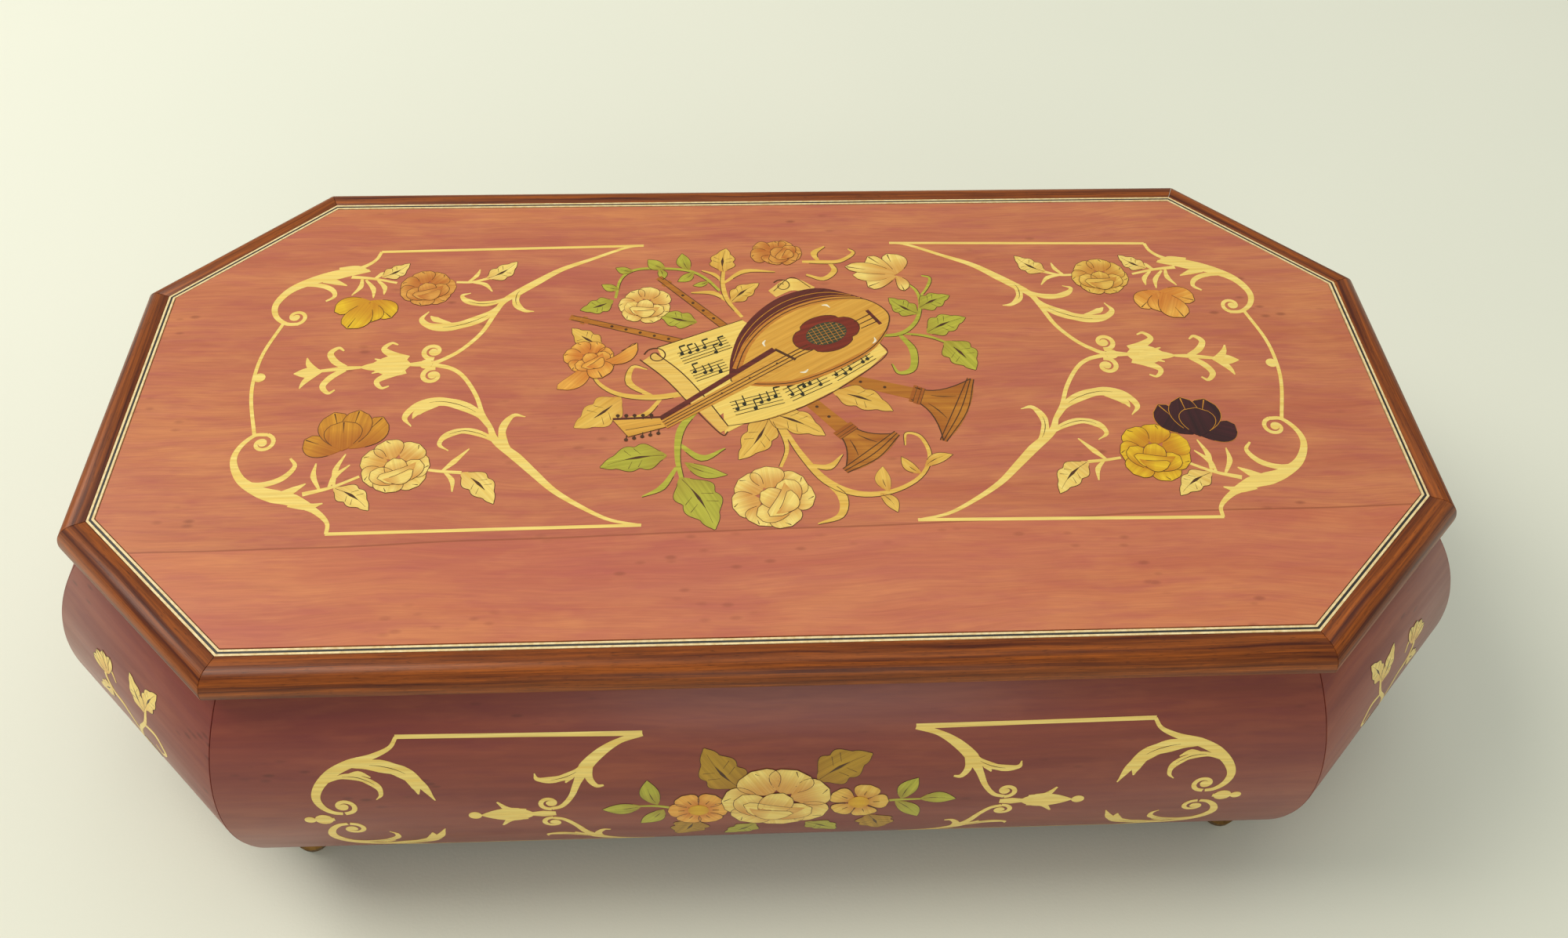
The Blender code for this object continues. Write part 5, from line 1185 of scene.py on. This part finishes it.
# %% The mandolin
def mandolin():
    """Ribbed bowl, soundboard, rosette, strings, neck and pegged head."""
    bowl = [(-8.4, 5.7), (-7.9, 11.4), (-5.7, 19.3), (-1.4, 26.4), (4.3, 31.8), (10.7, 34.6), (15.7, 34.9),
            (20.7, 33.2), (25.7, 30.7), (28.6, 27.6)]
    belly = [(-6.6, 7.1), (-4.3, 14.3), (0, 21.1), (5.7, 26.4), (12.1, 29.6), (18.6, 31.1), (24.3, 31.1),
             (27.9, 29.3), (30.4, 26.4), (30.9, 23.6), (29.6, 19.3), (26.4, 14.3), (21.4, 10), (14.3, 5.7),
             (6.4, 2.5), (0, 2.1), (-4.3, 2.5), (-8.0, 3.4)]
    outline = smooth(bowl, 4)
    plate("rib", [tuple(p) for p in outline] + [(22, 24), (6, 12), (-6, 3.4)], 9, 0.7)
    outline = smooth(belly + [belly[0]], 4)[:-1]
    plate("board", [tuple(p) for p in outline], 10, 0.6)
    shade = smooth(belly[:7], 4)
    ribbon("board", shade, [2.2, 1.6, 1.6, 1.6, 0.8], 10.3, scorch=[0.9, 0.7, 0.6, 0.6, 0.2], steps=1)
    ribbon("board", smooth(belly[10:17], 4), [0.8, 1.6, 1.6, 1.4], 10.3, scorch=[0.4, 0.7, 0.7, 0.9], steps=1)
    ribbon("ink", outline + [outline[0]], 0.28, 10.8, steps=1)
    for share in (0.3, 0.62):                            # joints between the bowl's ribs
        seam = [Vector(a).lerp(Vector(b), share) for a, b in zip(belly[:7], bowl[1:8])]
        ribbon("mustard", seam, 0.18, 9.8)
    # Rosette with its pierced hole
    middle, tilt = Vector((15.2, 18.8)), math.radians(24)
    ahead, side = Vector((math.cos(tilt), math.sin(tilt))), Vector((-math.sin(tilt), math.cos(tilt)))
    lobes = []
    for i in range(40):
        a = 2 * math.pi * i / 40
        reach = 0.96 + 0.18 * abs(math.cos(2 * a)) ** 0.5
        lobes.append(tuple(middle + ahead * 7.6 * reach * math.cos(a) + side * 5.4 * reach * math.sin(a)))
    plate("rosette", lobes, 11.2, 0.3)
    ribbon("ink", lobes + [lobes[0]], 0.2, 11.6, steps=1)
    turns = [2 * math.pi * i / 28 for i in range(28)]
    hole = [tuple(middle + ahead * 5.2 * math.cos(a) + side * 3.7 * math.sin(a)) for a in turns]
    plate("hole", hole, 12.0, 0.3)
    for i in range(-3, 4):
        half = math.sqrt(max(0.0, 1 - (i / 4) ** 2))
        spot = middle + ahead * 5.0 * i / 4
        ribbon("board", [spot - side * 3.5 * half, spot + side * 3.5 * half], 0.14, 12.5, scorch=0.7)
        spot = middle + side * 3.6 * i / 4
        ribbon("board", [spot - ahead * 5.0 * half, spot + ahead * 5.0 * half], 0.12, 12.5, scorch=0.7)
    for spot, turn in (((15.2, 27.4), 20), ((25.4, 16.4), -60), ((1.4, 15.6), 130), ((8.8, 7.2), -110)):
        start = math.radians(turn)
        arc = [(spot[0] + 1.5 * math.cos(start + a), spot[1] + 1.5 * math.sin(start + a))
               for a in (0, 0.8, 1.6)]
        ribbon("pearl", arc, [0.2, 0.6, 0.2], 11.2)
    # Neck, fingerboard, frets, strings, bridge and head
    ribbon("rib", [(2.4, 13.6), (-25.0, -8.9)], [1.5, 1.2], 12.8)
    ribbon("board", [(6.4, 10.9), (-23.4, -10.2)], [4.2, 3.4, 2.8], 12.6, scorch=[0.0, 0.1, 0.3])
    neck_start, neck_end = Vector((6.2, 11.2)), Vector((-23.2, -10.1))
    ahead, side = across(neck_start, neck_end)
    for i in (1, 3, 5, 7):
        disc("ink", neck_start.lerp(neck_end, i / 9), 0.28, 13.0)
    ribbon("ink", [(2.6, 13.6), (7.4, 10.0)], 0.75, 13.3)
    bridge = Vector((27.2, 24.2))
    ribbon("rib", [bridge + Vector((-1.6, 2.6)), bridge + Vector((1.4, -2.4))], 0.9, 12.6)
    for shift in (-1, 0, 1):
        far = bridge + Vector((-0.8, 1.3)) * shift
        near = Vector((8.0 - 0.6 * shift, 12.2 + 0.8 * shift))
        ribbon("ink", [near, neck_end + side * 0.8 * -shift], [0.3, 0.24], 13.6)
        ribbon("ink", [far, far.lerp(near, 0.22)], [0.3, 0.2], 13.6)
        ribbon("ink", [near, near.lerp(far, 0.16)], [0.3, 0.2], 13.6)
    plate("board", [(-34.9, -8.6), (-24.3, -8.2), (-23.0, -10.9), (-31.3, -13.7)], 12.6, 0.2)
    for edge in ([(-34.9, -8.6), (-24.3, -8.2)], [(-31.3, -13.7), (-23.0, -10.9)],
                 [(-34.9, -8.6), (-31.3, -13.7)]):
        ribbon("ink", edge, 0.2, 13.2)
    ribbon("rib", [(-35.0, -8.4), (-24.0, -8.0)], 0.9, 13.1)
    for drop in (0.25, 0.5, 0.75):
        ribbon("ink", [(-33.8 + 2.4 * drop, -9.0 - 3.6 * drop), (-24.0, -8.6 - 1.9 * drop)], 0.16, 13.1)
    for i in range(5):
        for row, drop in (((-33.9 + 1.9 * i, -7.2), 1.3), ((-31.8 + 1.8 * i, -14.6 + 0.45 * i), -1.3)):
            disc("ink", row, 0.45, 13.4)
            ribbon("ink", [row, (row[0] + 0.1, row[1] - drop)], 0.2, 13.3)


mandolin()

# %% Lay the lid's picture
def on_lid(x, y, height):
    return (x * MM, y * MM, LID_TOP + height * MM)


lay("lid_picture", on_lid, "lid")

# %% [markdown]
# ### Pictures on the walls
#
# The front wall repeats the lid's frames in small, either side of a rose between two daisies. The two front
# corners carry one upright vine each. The pieces are bent to the wall's curve: a drawn point has a place
# along the wall and a distance over its curve, and the curve's radius turns that into a place in space.


# %% Onto a wall
def on_wall(side):
    middle, along, outward = face_side(SIDES.index(side))[:3]

    def placed(u, s, height):
        angle = s * MM / BULGE_RADIUS
        reach = BULGE_RADIUS + height * MM
        flat = middle + along * u * MM + outward * (BULGE - BULGE_RADIUS + reach * math.cos(angle))
        return (flat.x, flat.y, BULGE_LEVEL + reach * math.sin(angle))
    return placed


# %% Scrolled frame of the front wall
def front_frame_half():
    """The upper half of the left frame; its lower half is the same turned over."""
    pale = "cream"
    ribbon(pale, [(-77.2, 25.1), (-52, 24.8), (-27.4, 24.5)], [1.0, 0.95, 1.2], steps=8)
    ribbon(pale, [(-77.0, 25.0), (-78.6, 22.5), (-82.5, 20.4), (-87, 18.8), (-91, 16.4), (-94, 13.0),
                  (-95.4, 9.4), (-94.8, 6.2), (-93.0, 4.0), (-91.0, 3.4)],
           [0.8, 0.9, 1.4, 2.2, 2.4, 2.1, 1.8, 1.5, 1.2, 1.0], 1.2)
    volute(pale, (-90.3, 6.0), 2.6, -95, 1.15, [1.1, 1.0, 0.8])
    frond(pale, [(-87.5, 18.2), (-82, 18.2), (-77, 16.4), (-73.4, 12.6), (-71.2, 7.4)], 3.6, 1.1)
    ribbon(pale, [(-76.4, 15.4), (-74.6, 12), (-74.3, 9.6)], [1.4, 1.8, 0.3], 1.3)
    frond(pale, [(-92.4, 14.0), (-89, 15.4), (-85.4, 14.8), (-82.4, 12.4), (-82.0, 9.8), (-83.2, 8.2)], 1.8)
    ribbon(pale, [(-88.8, 15.2), (-85.6, 16.2), (-83.3, 15.0)], [0.8, 1.3, 0.3])
    ribbon(pale, [(-27.4, 24.4), (-32, 22.9), (-36, 20.2), (-39.4, 16.4), (-41.4, 12), (-43, 7.6),
                  (-45.2, 4.2), (-47.5, 3.2)], [1.2, 1.3, 2.2, 2.8, 1.6, 1.2, 1.1, 1.1], 1.2)
    volute(pale, (-47.7, 5.3), 2.3, -85, -1.1, [1.1, 1.0, 0.8])
    frond(pale, [(-38.6, 18), (-42, 14.6), (-46, 13.0), (-49.4, 13.2), (-50.0, 14.9)], 2.0, 1.1)
    ribbon(pale, [(-40.6, 16), (-42.8, 13.6), (-43.8, 12.0)], [1.0, 1.5, 0.3])
    ribbon(pale, [(-38.6, 17), (-38.9, 13.4), (-37.6, 10.9), (-36.0, 10.9)], [1.6, 1.6, 1.1, 0.5])
    ribbon(pale, [(-53, 2.4), (-56.4, 3.2), (-58.6, 6.2)], [2.0, 1.8, 0.4], 1.1)


def front_frame():
    """Both halves of the left frame with its finials and its tulip."""
    place = pen["place"]
    front_frame_half()
    pen["place"] = lambda x, y: place(x, 2.4 - y)
    front_frame_half()
    pen["place"] = place
    disc("cream", (-98.3, 1.2), 1.2, 1.3)
    disc("cream", (-95.4, 1.2), 1.9, 1.2)
    ribbon("cream", [(-97.6, 1.2), (-93.2, 1.2)], [0.8, 1.2], 1.1)
    ribbon("cream", [(-46.8, 1.2), (-52.0, 1.2)], [1.6, 2.4, 1.4], 1.4)
    blade("cream", (-51.0, 1.2), (-62.6, 1.2), 5.4, 1.5, full=0.4, point=0.8)
    disc("cream", (-63.8, 1.2), 1.4, 1.6)


front_frame()
pen["place"] = lambda x, y: (1.2 - x, y)
front_frame()
pen["place"] = lambda x, y: (x, y)

# %% Flowers of the front wall
def front_flowers():
    leaf("olive", (-7.4, 8.6), (-15.0, 20.4), 7.4)
    leaf("olive", (8.6, 10.6), (19.8, 18.0), 7.6)
    leaf("olive", (-17.6, -3.6), (-21.6, -13.8), 6.6)
    leaf("olive", (20.0, -3.6), (22.8, -13.4), 6.6)
    leaf("green", (-4.6, -7.0), (-11.2, -14.6), 5.2)
    leaf("green", (6.6, -7.0), (13.4, -14.0), 5.2)
    for base, tip in (((-25.2, 3.6), (-27.0, 12.0)), ((-28.6, 3.2), (-36.9, 2.2)),
                      ((-24.0, 1.6), (-29.2, -4.8)),
                      ((26.6, 3.4), (29.8, 10.6)), ((30.6, 3.2), (38.4, 2.8)), ((25.4, 2.6), (30.8, -5.2))):
        blade("green", base, tip, 4.2, 1.6, bend=0.07, full=0.5, burn=0.4, until=0.5, line=0.12, vein=0.16)
    ribbon("green", [(-21.0, 1.6), (-25.0, 3.0), (-29.4, 3.2)], [0.8, 0.8, 0.5])
    ribbon("green", [(22.0, 2.6), (26.4, 3.0), (31.4, 3.1)], [0.8, 0.8, 0.5])
    daisy("orange", "yellow", (-16.6, 0.8), 6.6, 6, 41)
    daisy("tan", "yellow", (17.6, 2.4), 6.8, 5, 42)
    rose("cream", (0.2, 3.6), 24.5, 43, 1.0, level=10)


front_flowers()
lay("front_picture", on_wall("front"), "case")


# %% Vine of a front corner
def corner_vine():
    """An upright stem with curls, small leaves and a hanging bell."""
    pale = "cream"
    ribbon(pale, [(2.0, -19), (-1.6, -12), (-2.6, -4), (0.4, 4), (4.2, 10), (5.4, 17)],
           [0.6, 1.1, 1.3, 1.2, 1.0, 0.6], steps=7)
    ribbon(pale, [(-0.8, 1.6), (-5.0, 6.4), (-9.6, 8.2), (-11.6, 12.4), (-8.8, 14.8), (-7.0, 12.6)],
           [0.9, 1.2, 1.1, 0.9, 0.7, 0.4])
    ribbon(pale, [(3.4, 8.4), (8.2, 8.8), (10.6, 5.0), (8.4, 2.4), (6.4, 4.0)], [0.8, 1.1, 1.0, 0.7, 0.4])
    ribbon(pale, [(-2.4, -5.4), (-7.2, -3.6), (-10.0, -7.0), (-7.8, -9.8), (-5.8, -8.0)],
           [0.8, 1.1, 1.0, 0.7, 0.4])
    ribbon(pale, [(-1.8, -9.6), (3.4, -7.4), (7.6, -10.4)], [0.8, 1.1, 0.7])
    leaf(pale, (5.2, 15.0), (9.2, 22.4), 4.0, vein=0.16)
    leaf(pale, (4.8, 13.4), (-1.2, 20.6), 4.0, vein=0.16)
    leaf(pale, (-9.8, 8.6), (-15.6, 4.4), 3.6, vein=0.16)
    leaf(pale, (-1.8, -2.0), (5.4, -2.4), 3.4, vein=0.16)
    side_petals(pale, [((7.2, -10.0), toward((7.2, -10.0), -72 + lean, 7.6), 3.6, 0.0)
                       for lean in (-42, 42, -14, 14)], 3, 0.35)
    side_petals(pale, [((-10.4, 12.6), toward((-10.4, 12.6), 120 + lean, 6.0), 3.0, 0.0)
                       for lean in (-42, 42, -14, 14)], 3, 0.35)
    for spot in ((2.2, -19.4), (-15.4, 4.2), (5.6, 17.4)):
        disc(pale, spot, 0.8, 1.4)


corner_vine()
lay("left_corner_vine", on_wall("front_left"), "case")
pen["place"] = lambda x, y: (-x, y)
corner_vine()
pen["place"] = lambda x, y: (x, y)
lay("right_corner_vine", on_wall("front_right"), "case")

# %% [markdown]
# ## Metals
#
# The movement is brass, blued-white steel and a nickelled casting; the feet and the key are brass left to
# darken. One node group makes what they share: dulled patches, fine scratches and a slight unevenness.
# The fine scratches come from a noise that is stretched in one direction, as turning and polishing leave it.


# %% The metal wear group
def wear_group():
    """Tarnish in soft patches, fine scratches and a low unevenness."""
    tree, given, result = new_group("metal_wear", [("Place", "Vector", None)],
                                    [("Tarnish", "Float"), ("Scratch", "Float"), ("Height", "Float")])
    place = given.outputs["Place"]
    tree.links.new(spread(tree, noise(tree, place, 170.0, 4.0, 0.6), 0.42, 0.68), result.inputs["Tarnish"])
    lines = noise(tree, place, (260.0, 3200.0, 900.0), 2.0)
    tree.links.new(spread(tree, lines, 0.55, 0.75), result.inputs["Scratch"])
    tree.links.new(noise(tree, place, 1100.0, 2.0), result.inputs["Height"])
    return tree


WEAR = wear_group()


def metal_finish(name, bright, dull, smooth_rough, dull_rough, depth=0.08):
    material, tree, shader = new_material(name, Metallic=1.0)
    place = node(tree, "ShaderNodeTexCoord").outputs["Object"]
    worn = node(tree, "ShaderNodeGroup", node_tree=WEAR)
    tree.links.new(place, worn.inputs["Place"])
    tint = mixed(tree, worn.outputs["Tarnish"], bright, dull)
    rough = spread(tree, worn.outputs["Tarnish"], 0.0, 1.0, smooth_rough, dull_rough)
    line = node(tree, "ShaderNodeMath", {0: worn.outputs["Scratch"], 1: 0.10, 2: rough},
                operation="MULTIPLY_ADD").outputs[0]
    tree.links.new(tint, shader.inputs["Base Color"])
    tree.links.new(line, shader.inputs["Roughness"])
    bump = node(tree, "ShaderNodeBump", {"Height": worn.outputs["Height"], "Strength": depth,
                                         "Distance": 0.00005})
    tree.links.new(bump.outputs["Normal"], shader.inputs["Normal"])
    return material


BRASS = metal_finish("polished_brass", color(226, 186, 108), color(186, 142, 76), 0.20, 0.36)
DARK_BRASS = metal_finish("darkened_brass", color(148, 112, 62), color(70, 50, 30), 0.34, 0.56, 0.2)
STEEL = metal_finish("ground_steel", color(204, 205, 206), color(150, 151, 153), 0.22, 0.38)
NICKEL = metal_finish("nickelled_casting", color(190, 186, 176), color(150, 146, 138), 0.36, 0.52, 0.35)
LEAD = metal_finish("lead_weight", color(120, 122, 128), color(88, 90, 96), 0.5, 0.66, 0.3)


# %% Clear cover of the movement bay
def clear_finish():
    """Clear sheet with a faint haze of handling."""
    material, tree, shader = new_material("clear_sheet", IOR=1.49, Transmission_Weight=1.0)
    shader.inputs["Base Color"].default_value = (0.97, 0.985, 0.98, 1.0)
    place = node(tree, "ShaderNodeTexCoord").outputs["Object"]
    haze = spread(tree, noise(tree, place, 60.0, 4.0), 0.45, 0.75, 0.03, 0.16)
    tree.links.new(haze, shader.inputs["Roughness"])
    return material


CLEAR = clear_finish()

# %% Finishes for the nodes that keep their CAD shape
KEPT = {
    "raw_wood": (RAW_WOOD, ("base_board", "bay_partition", "cover_cleat", "lid_board")),
    "brass": (BRASS, ("hinge_case_leaf_left", "hinge_case_leaf_right", "hinge_lid_leaf_left",
                      "hinge_lid_leaf_right", "pin_cylinder", "cylinder_wheel", "spring_barrel",
                      "governor_wheel", "governor_fly")),
    "dark": (DARK_BRASS, ("foot_front_left", "foot_front_right", "foot_back_left", "foot_back_right",
                          "winding_key")),
    "steel": (STEEL, ("cover_screw_left", "cover_screw_right", "comb", "comb_screw_1", "comb_screw_2",
                      "movement_screw_1", "movement_screw_2", "movement_screw_3", "winding_arbor",
                      "cylinder_arbor", "mainspring", "stop_pin", "stop_lever")),
    "nickel": (NICKEL, ("bedplate", "cylinder_bracket", "barrel_bridge", "governor_frame")),
    "clear": (CLEAR, ("movement_cover",)),
}
for finish, names in KEPT.values():
    for name in names:
        nodes[name].data.materials.clear()
        nodes[name].data.materials.append(finish)
print("nodes with their CAD shape:", sum(len(names) for finish, names in KEPT.values()))

# %% [markdown]
# ## Cylinder pins and comb weights
#
# A tune is a pattern of fine steel pins in the cylinder, one ring of places for each tooth of the comb. A pin
# is modelled once, a small tapered peg, and copied to made-up places. The long bass teeth carry little lead
# blocks under their tips, which lower their note.


# %% Pins
TEETH = 36                           # teeth of the comb


def pinned_tune():
    """Small pegs that stand out of the cylinder, away from the comb's teeth at rest."""
    low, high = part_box("pin_cylinder")
    middle = (low + high) / 2
    radius = (high.x - low.x) / 2
    bpy.ops.object.select_all(action="DESELECT")
    bpy.ops.mesh.primitive_cone_add(vertices=6, radius1=0.16 * MM, radius2=0.09 * MM, depth=0.9 * MM)
    peg = bpy.context.object
    shape = [v.co.copy() for v in peg.data.vertices]
    faces = [list(p.vertices) for p in peg.data.polygons]
    bpy.data.objects.remove(peg, do_unlink=True)
    pick = random.Random(5)
    verts, all_faces = [], []
    margin = 1.6 * MM
    for tooth in range(TEETH):
        y = high.y - margin - (high.y - low.y - 2 * margin) * (tooth + 0.5) / TEETH
        for _ in range(7):
            angle = pick.uniform(math.radians(12), math.radians(348))
            out = Vector((math.cos(angle), 0, math.sin(angle)))
            side = Vector((-math.sin(angle), 0, math.cos(angle)))
            first = len(verts)
            for v in shape:
                place = Vector((middle.x, y, middle.z)) + out * (radius + 0.3 * MM + v.z) + side * v.x
                verts.append(place + Vector((0, v.y, 0)))
            all_faces += [[first + i for i in face] for face in faces]
    pins = new_piece("cylinder_pins", verts, all_faces, STEEL)
    turn_faces_out(pins)
    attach(pins, "cylinder")
    return len(verts) // len(shape)


print("pins:", pinned_tune())


# %% Lead weights
def comb_weights(count=14):
    """Blocks under the tips of the longest teeth, each a little smaller than the last."""
    low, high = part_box("comb")
    pitch = (high.y - low.y) / TEETH
    parts = []
    for i in range(count):
        tall = (1.5 - 0.07 * i) * MM
        y = low.y + pitch * (i + 0.5)
        bpy.ops.object.select_all(action="DESELECT")
        bpy.ops.mesh.primitive_cube_add(size=1.0, location=(low.x + 2.0 * MM, y, (low.z + high.z) / 2
                                                            - 0.9 * MM - tall / 2))
        block = bpy.context.object
        block.scale = (2.6 * MM, 0.66 * pitch, tall)
        bpy.ops.object.transform_apply(location=True, rotation=True, scale=True)
        parts.append(block)
    bpy.ops.object.select_all(action="DESELECT")
    for block in parts:
        block.select_set(True)
    bpy.context.view_layer.objects.active = parts[0]
    bpy.ops.object.join()
    weights = bpy.context.object
    weights.name = "comb_weights"
    soften = weights.modifiers.new("edges", "BEVEL")
    soften.width = 0.08 * MM
    soften.segments = 2
    bpy.ops.object.modifier_apply(modifier=soften.name)
    weights.data.materials.append(LEAD)
    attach(weights, "case")


comb_weights()

# %% [markdown]
# ## Velvet
#
# The tray is lined with dark red velvet: a thin padded skirt on the walls, a soft floor, three stuffed rolls
# that grip rings, and a padded board inside the lid. Velvet has a short upright pile, so its colour shifts
# in soft patches where the pile leans, and its rim glows a little. The forms are flat boards and rolls
# that get a crown, rounded edges and a slight unevenness from points moved along their normals.


# %% Velvet finish
def velvet_finish():
    material, tree, shader = new_material("red_velvet", Roughness=0.92, Sheen_Weight=0.55,
                                          Sheen_Roughness=0.4)
    shader.inputs["Sheen Tint"].default_value = color(226, 120, 130)
    place = node(tree, "ShaderNodeTexCoord").outputs["Object"]
    brushed = noise(tree, place, (38.0, 60.0, 44.0), 3.0, 0.6)
    pile = noise(tree, place, 2600.0, 2.0)
    tint = mixed(tree, spread(tree, brushed, 0.3, 0.7), color(122, 18, 34), color(142, 27, 42))
    tint = mixed(tree, spread(tree, pile, 0.35, 0.65, 0.0, 0.4), tint, color(70, 6, 18))
    tree.links.new(tint, shader.inputs["Base Color"])
    bump = node(tree, "ShaderNodeBump", {"Height": pile, "Strength": 0.35, "Distance": 0.0002})
    tree.links.new(bump.outputs["Normal"], shader.inputs["Normal"])
    return material


VELVET = velvet_finish()


# %% Padded boards
def ring_quads(rings, count):
    """Quads between closed rings that follow one another, each with the same number of points."""
    faces = []
    for ring in range(rings):
        for i in range(count):
            j = (i + 1) % count
            start, ahead = ring * count, (ring + 1) * count
            faces.append([start + i, start + j, ahead + j, ahead + i])
    return faces


def clipped_octagon(offset, left=None):
    """The plan at an offset, cut off by a wall at the left."""
    corners = octagon(offset)
    if left is None:
        return corners
    return [Vector((left, corners[0].y))] + corners[1:5] + [Vector((left, corners[4].y))]


def padded_board(name, outline, low, high, crown, upward):
    """A stuffed board: rings of points from its edge to its middle, over a flat back. The crown rises
    quickly behind a rounded edge and slowly after it."""
    outline = [a.lerp(b, i / 10) for a, b in zip(outline, outline[1:] + outline[:1]) for i in range(10)]
    middle = sum(outline, Vector((0, 0))) / len(outline)
    face, back = (high, low) if upward else (low, high)
    sense = 1 if upward else -1
    count = len(outline)
    verts = [(*p, back) for p in outline]
    shares = [0.0, 0.004, 0.012, 0.03, 0.07, 0.16, 0.34, 0.6, 0.85]
    for share in shares:
        rise = 1 - (1 - min(1.0, share / 0.07)) ** 2.2
        swell = crown * (1 - (1 - min(share / 0.6, 1.0)) ** 2)
        for p in outline:
            place = p.lerp(middle, share)
            wave = math.sin(place.x * 210 + 1.3 * math.sin(place.y * 160))
            ripple = 0.12 * MM * wave * min(1.0, share * 6)
            edge_drop = (1 - rise) * 0.8 * abs(high - low)
            verts.append((*place, face - sense * edge_drop + sense * (swell + ripple)))
    faces = ring_quads(len(shares), count)
    faces.append([len(shares) * count + i for i in range(count)])
    faces.append(list(range(count))[::-1])
    board = new_piece(name, verts, faces, VELVET)
    turn_faces_out(board)
    bpy.ops.object.shade_smooth_by_angle(angle=math.radians(50))
    return board


lining_low, lining_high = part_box("lid_lining")
lid_pad = padded_board("lid_pad", octagon(-EDGE_X + lining_high.x), lining_low.z, lining_high.z,
                       1.6 * MM, False)
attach(lid_pad, "lid")
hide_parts("lid_lining")

floor_low, floor_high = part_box("tray_floor_pad")
tray_pad = padded_board("tray_pad", clipped_octagon(floor_high.x - EDGE_X, floor_low.x), floor_low.z,
                        floor_high.z - 0.1 * MM, 0.15 * MM, True)
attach(tray_pad, "case")
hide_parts("tray_floor_pad")
print("lid pad faces:", len(lid_pad.data.polygons))


# %% Skirt of the tray
def tray_skirt():
    """A thin padded strip around the tray's walls with a rolled upper edge."""
    low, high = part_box("tray_lining")
    thick = 1.0 * MM
    # Section of (inset, height): back, rolled top, softly swelling face.
    section = [(0.0, low.z), (0.0, high.z - 0.6 * MM), (0.15 * MM, high.z - 0.15 * MM), (0.5 * MM, high.z),
               (0.95 * MM, high.z - 0.2 * MM), (1.15 * MM, high.z - 0.9 * MM), (1.0 * MM, high.z - 2.2 * MM)]
    steps = 8
    for i in range(1, steps):
        share = i / steps
        section.append((thick + 0.25 * MM * math.sin(math.pi * share), high.z - 2.2 * MM
                        - (high.z - 2.2 * MM - low.z) * share))
    section.append((thick * 0.9, low.z))
    verts, faces = [], []
    for inset, height in section:
        ring = clipped_octagon(high.x - EDGE_X - inset, low.x)
        path = []
        for a, b in zip(ring[:-1], ring[1:]):
            path += [a.lerp(b, i / 12) for i in range(12)]
        path.append(ring[-1])
        verts += [(*p, height) for p in path]
        across_count = len(path)
    rows = len(section)
    for r in range(rows):
        for i in range(across_count - 1):
            a, b = r * across_count + i, ((r + 1) % rows) * across_count + i
            faces.append([a, a + 1, b + 1, b])
    faces.append([r * across_count for r in range(rows)])
    faces.append([r * across_count + across_count - 1 for r in range(rows)][::-1])
    skirt = new_piece("tray_skirt", verts, faces, VELVET)
    turn_faces_out(skirt)
    bpy.ops.object.shade_smooth_by_angle(angle=math.radians(60))
    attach(skirt, "case")
    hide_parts("tray_lining")


tray_skirt()


# %% Ring rolls
def ring_roll(index):
    """A stuffed tube with pulled-in ends and a slightly flattened strip underneath."""
    low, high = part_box(f"ring_roll_{index}")
    middle, radius = (low + high) / 2, (high.x - low.x) / 2
    long = high.y - low.y
    around, rows = 40, 48
    verts = []
    pick = random.Random(60 + index)
    wave, turn = pick.uniform(0, 6), pick.uniform(0, 6)
    for r in range(rows + 1):
        share = r / rows
        near = min(share, 1 - share) * long
        end = math.sqrt(max(0.0, 1 - (1 - min(1.0, near / (0.9 * radius))) ** 2))
        for i in range(around):
            a = 2 * math.pi * i / around
            pleat = 0.05 * math.sin(9 * a + turn) * (1 - min(1.0, near / (1.6 * radius)))
            dent = 0.018 * math.sin(3.1 * share * math.pi * 2 + wave + 2 * math.sin(a + turn))
            reach = radius * max(0.04, end * (0.975 + pleat + dent))
            seat = 0.93 if math.sin(a) < -0.86 else 1.0
            verts.append((middle.x + reach * math.cos(a), low.y + long * share,
                          middle.z + reach * math.sin(a) * seat))
    faces = ring_quads(rows, around)
    faces.append(list(range(around)))
    faces.append([rows * around + i for i in range(around)][::-1])
    roll = new_piece(f"stuffed_roll_{index}", verts, faces, VELVET)
    turn_faces_out(roll)
    bpy.ops.object.shade_smooth()
    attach(roll, "case")
    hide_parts(f"ring_roll_{index}")


for index in (1, 2, 3):
    ring_roll(index)
print("ring rolls: 3")
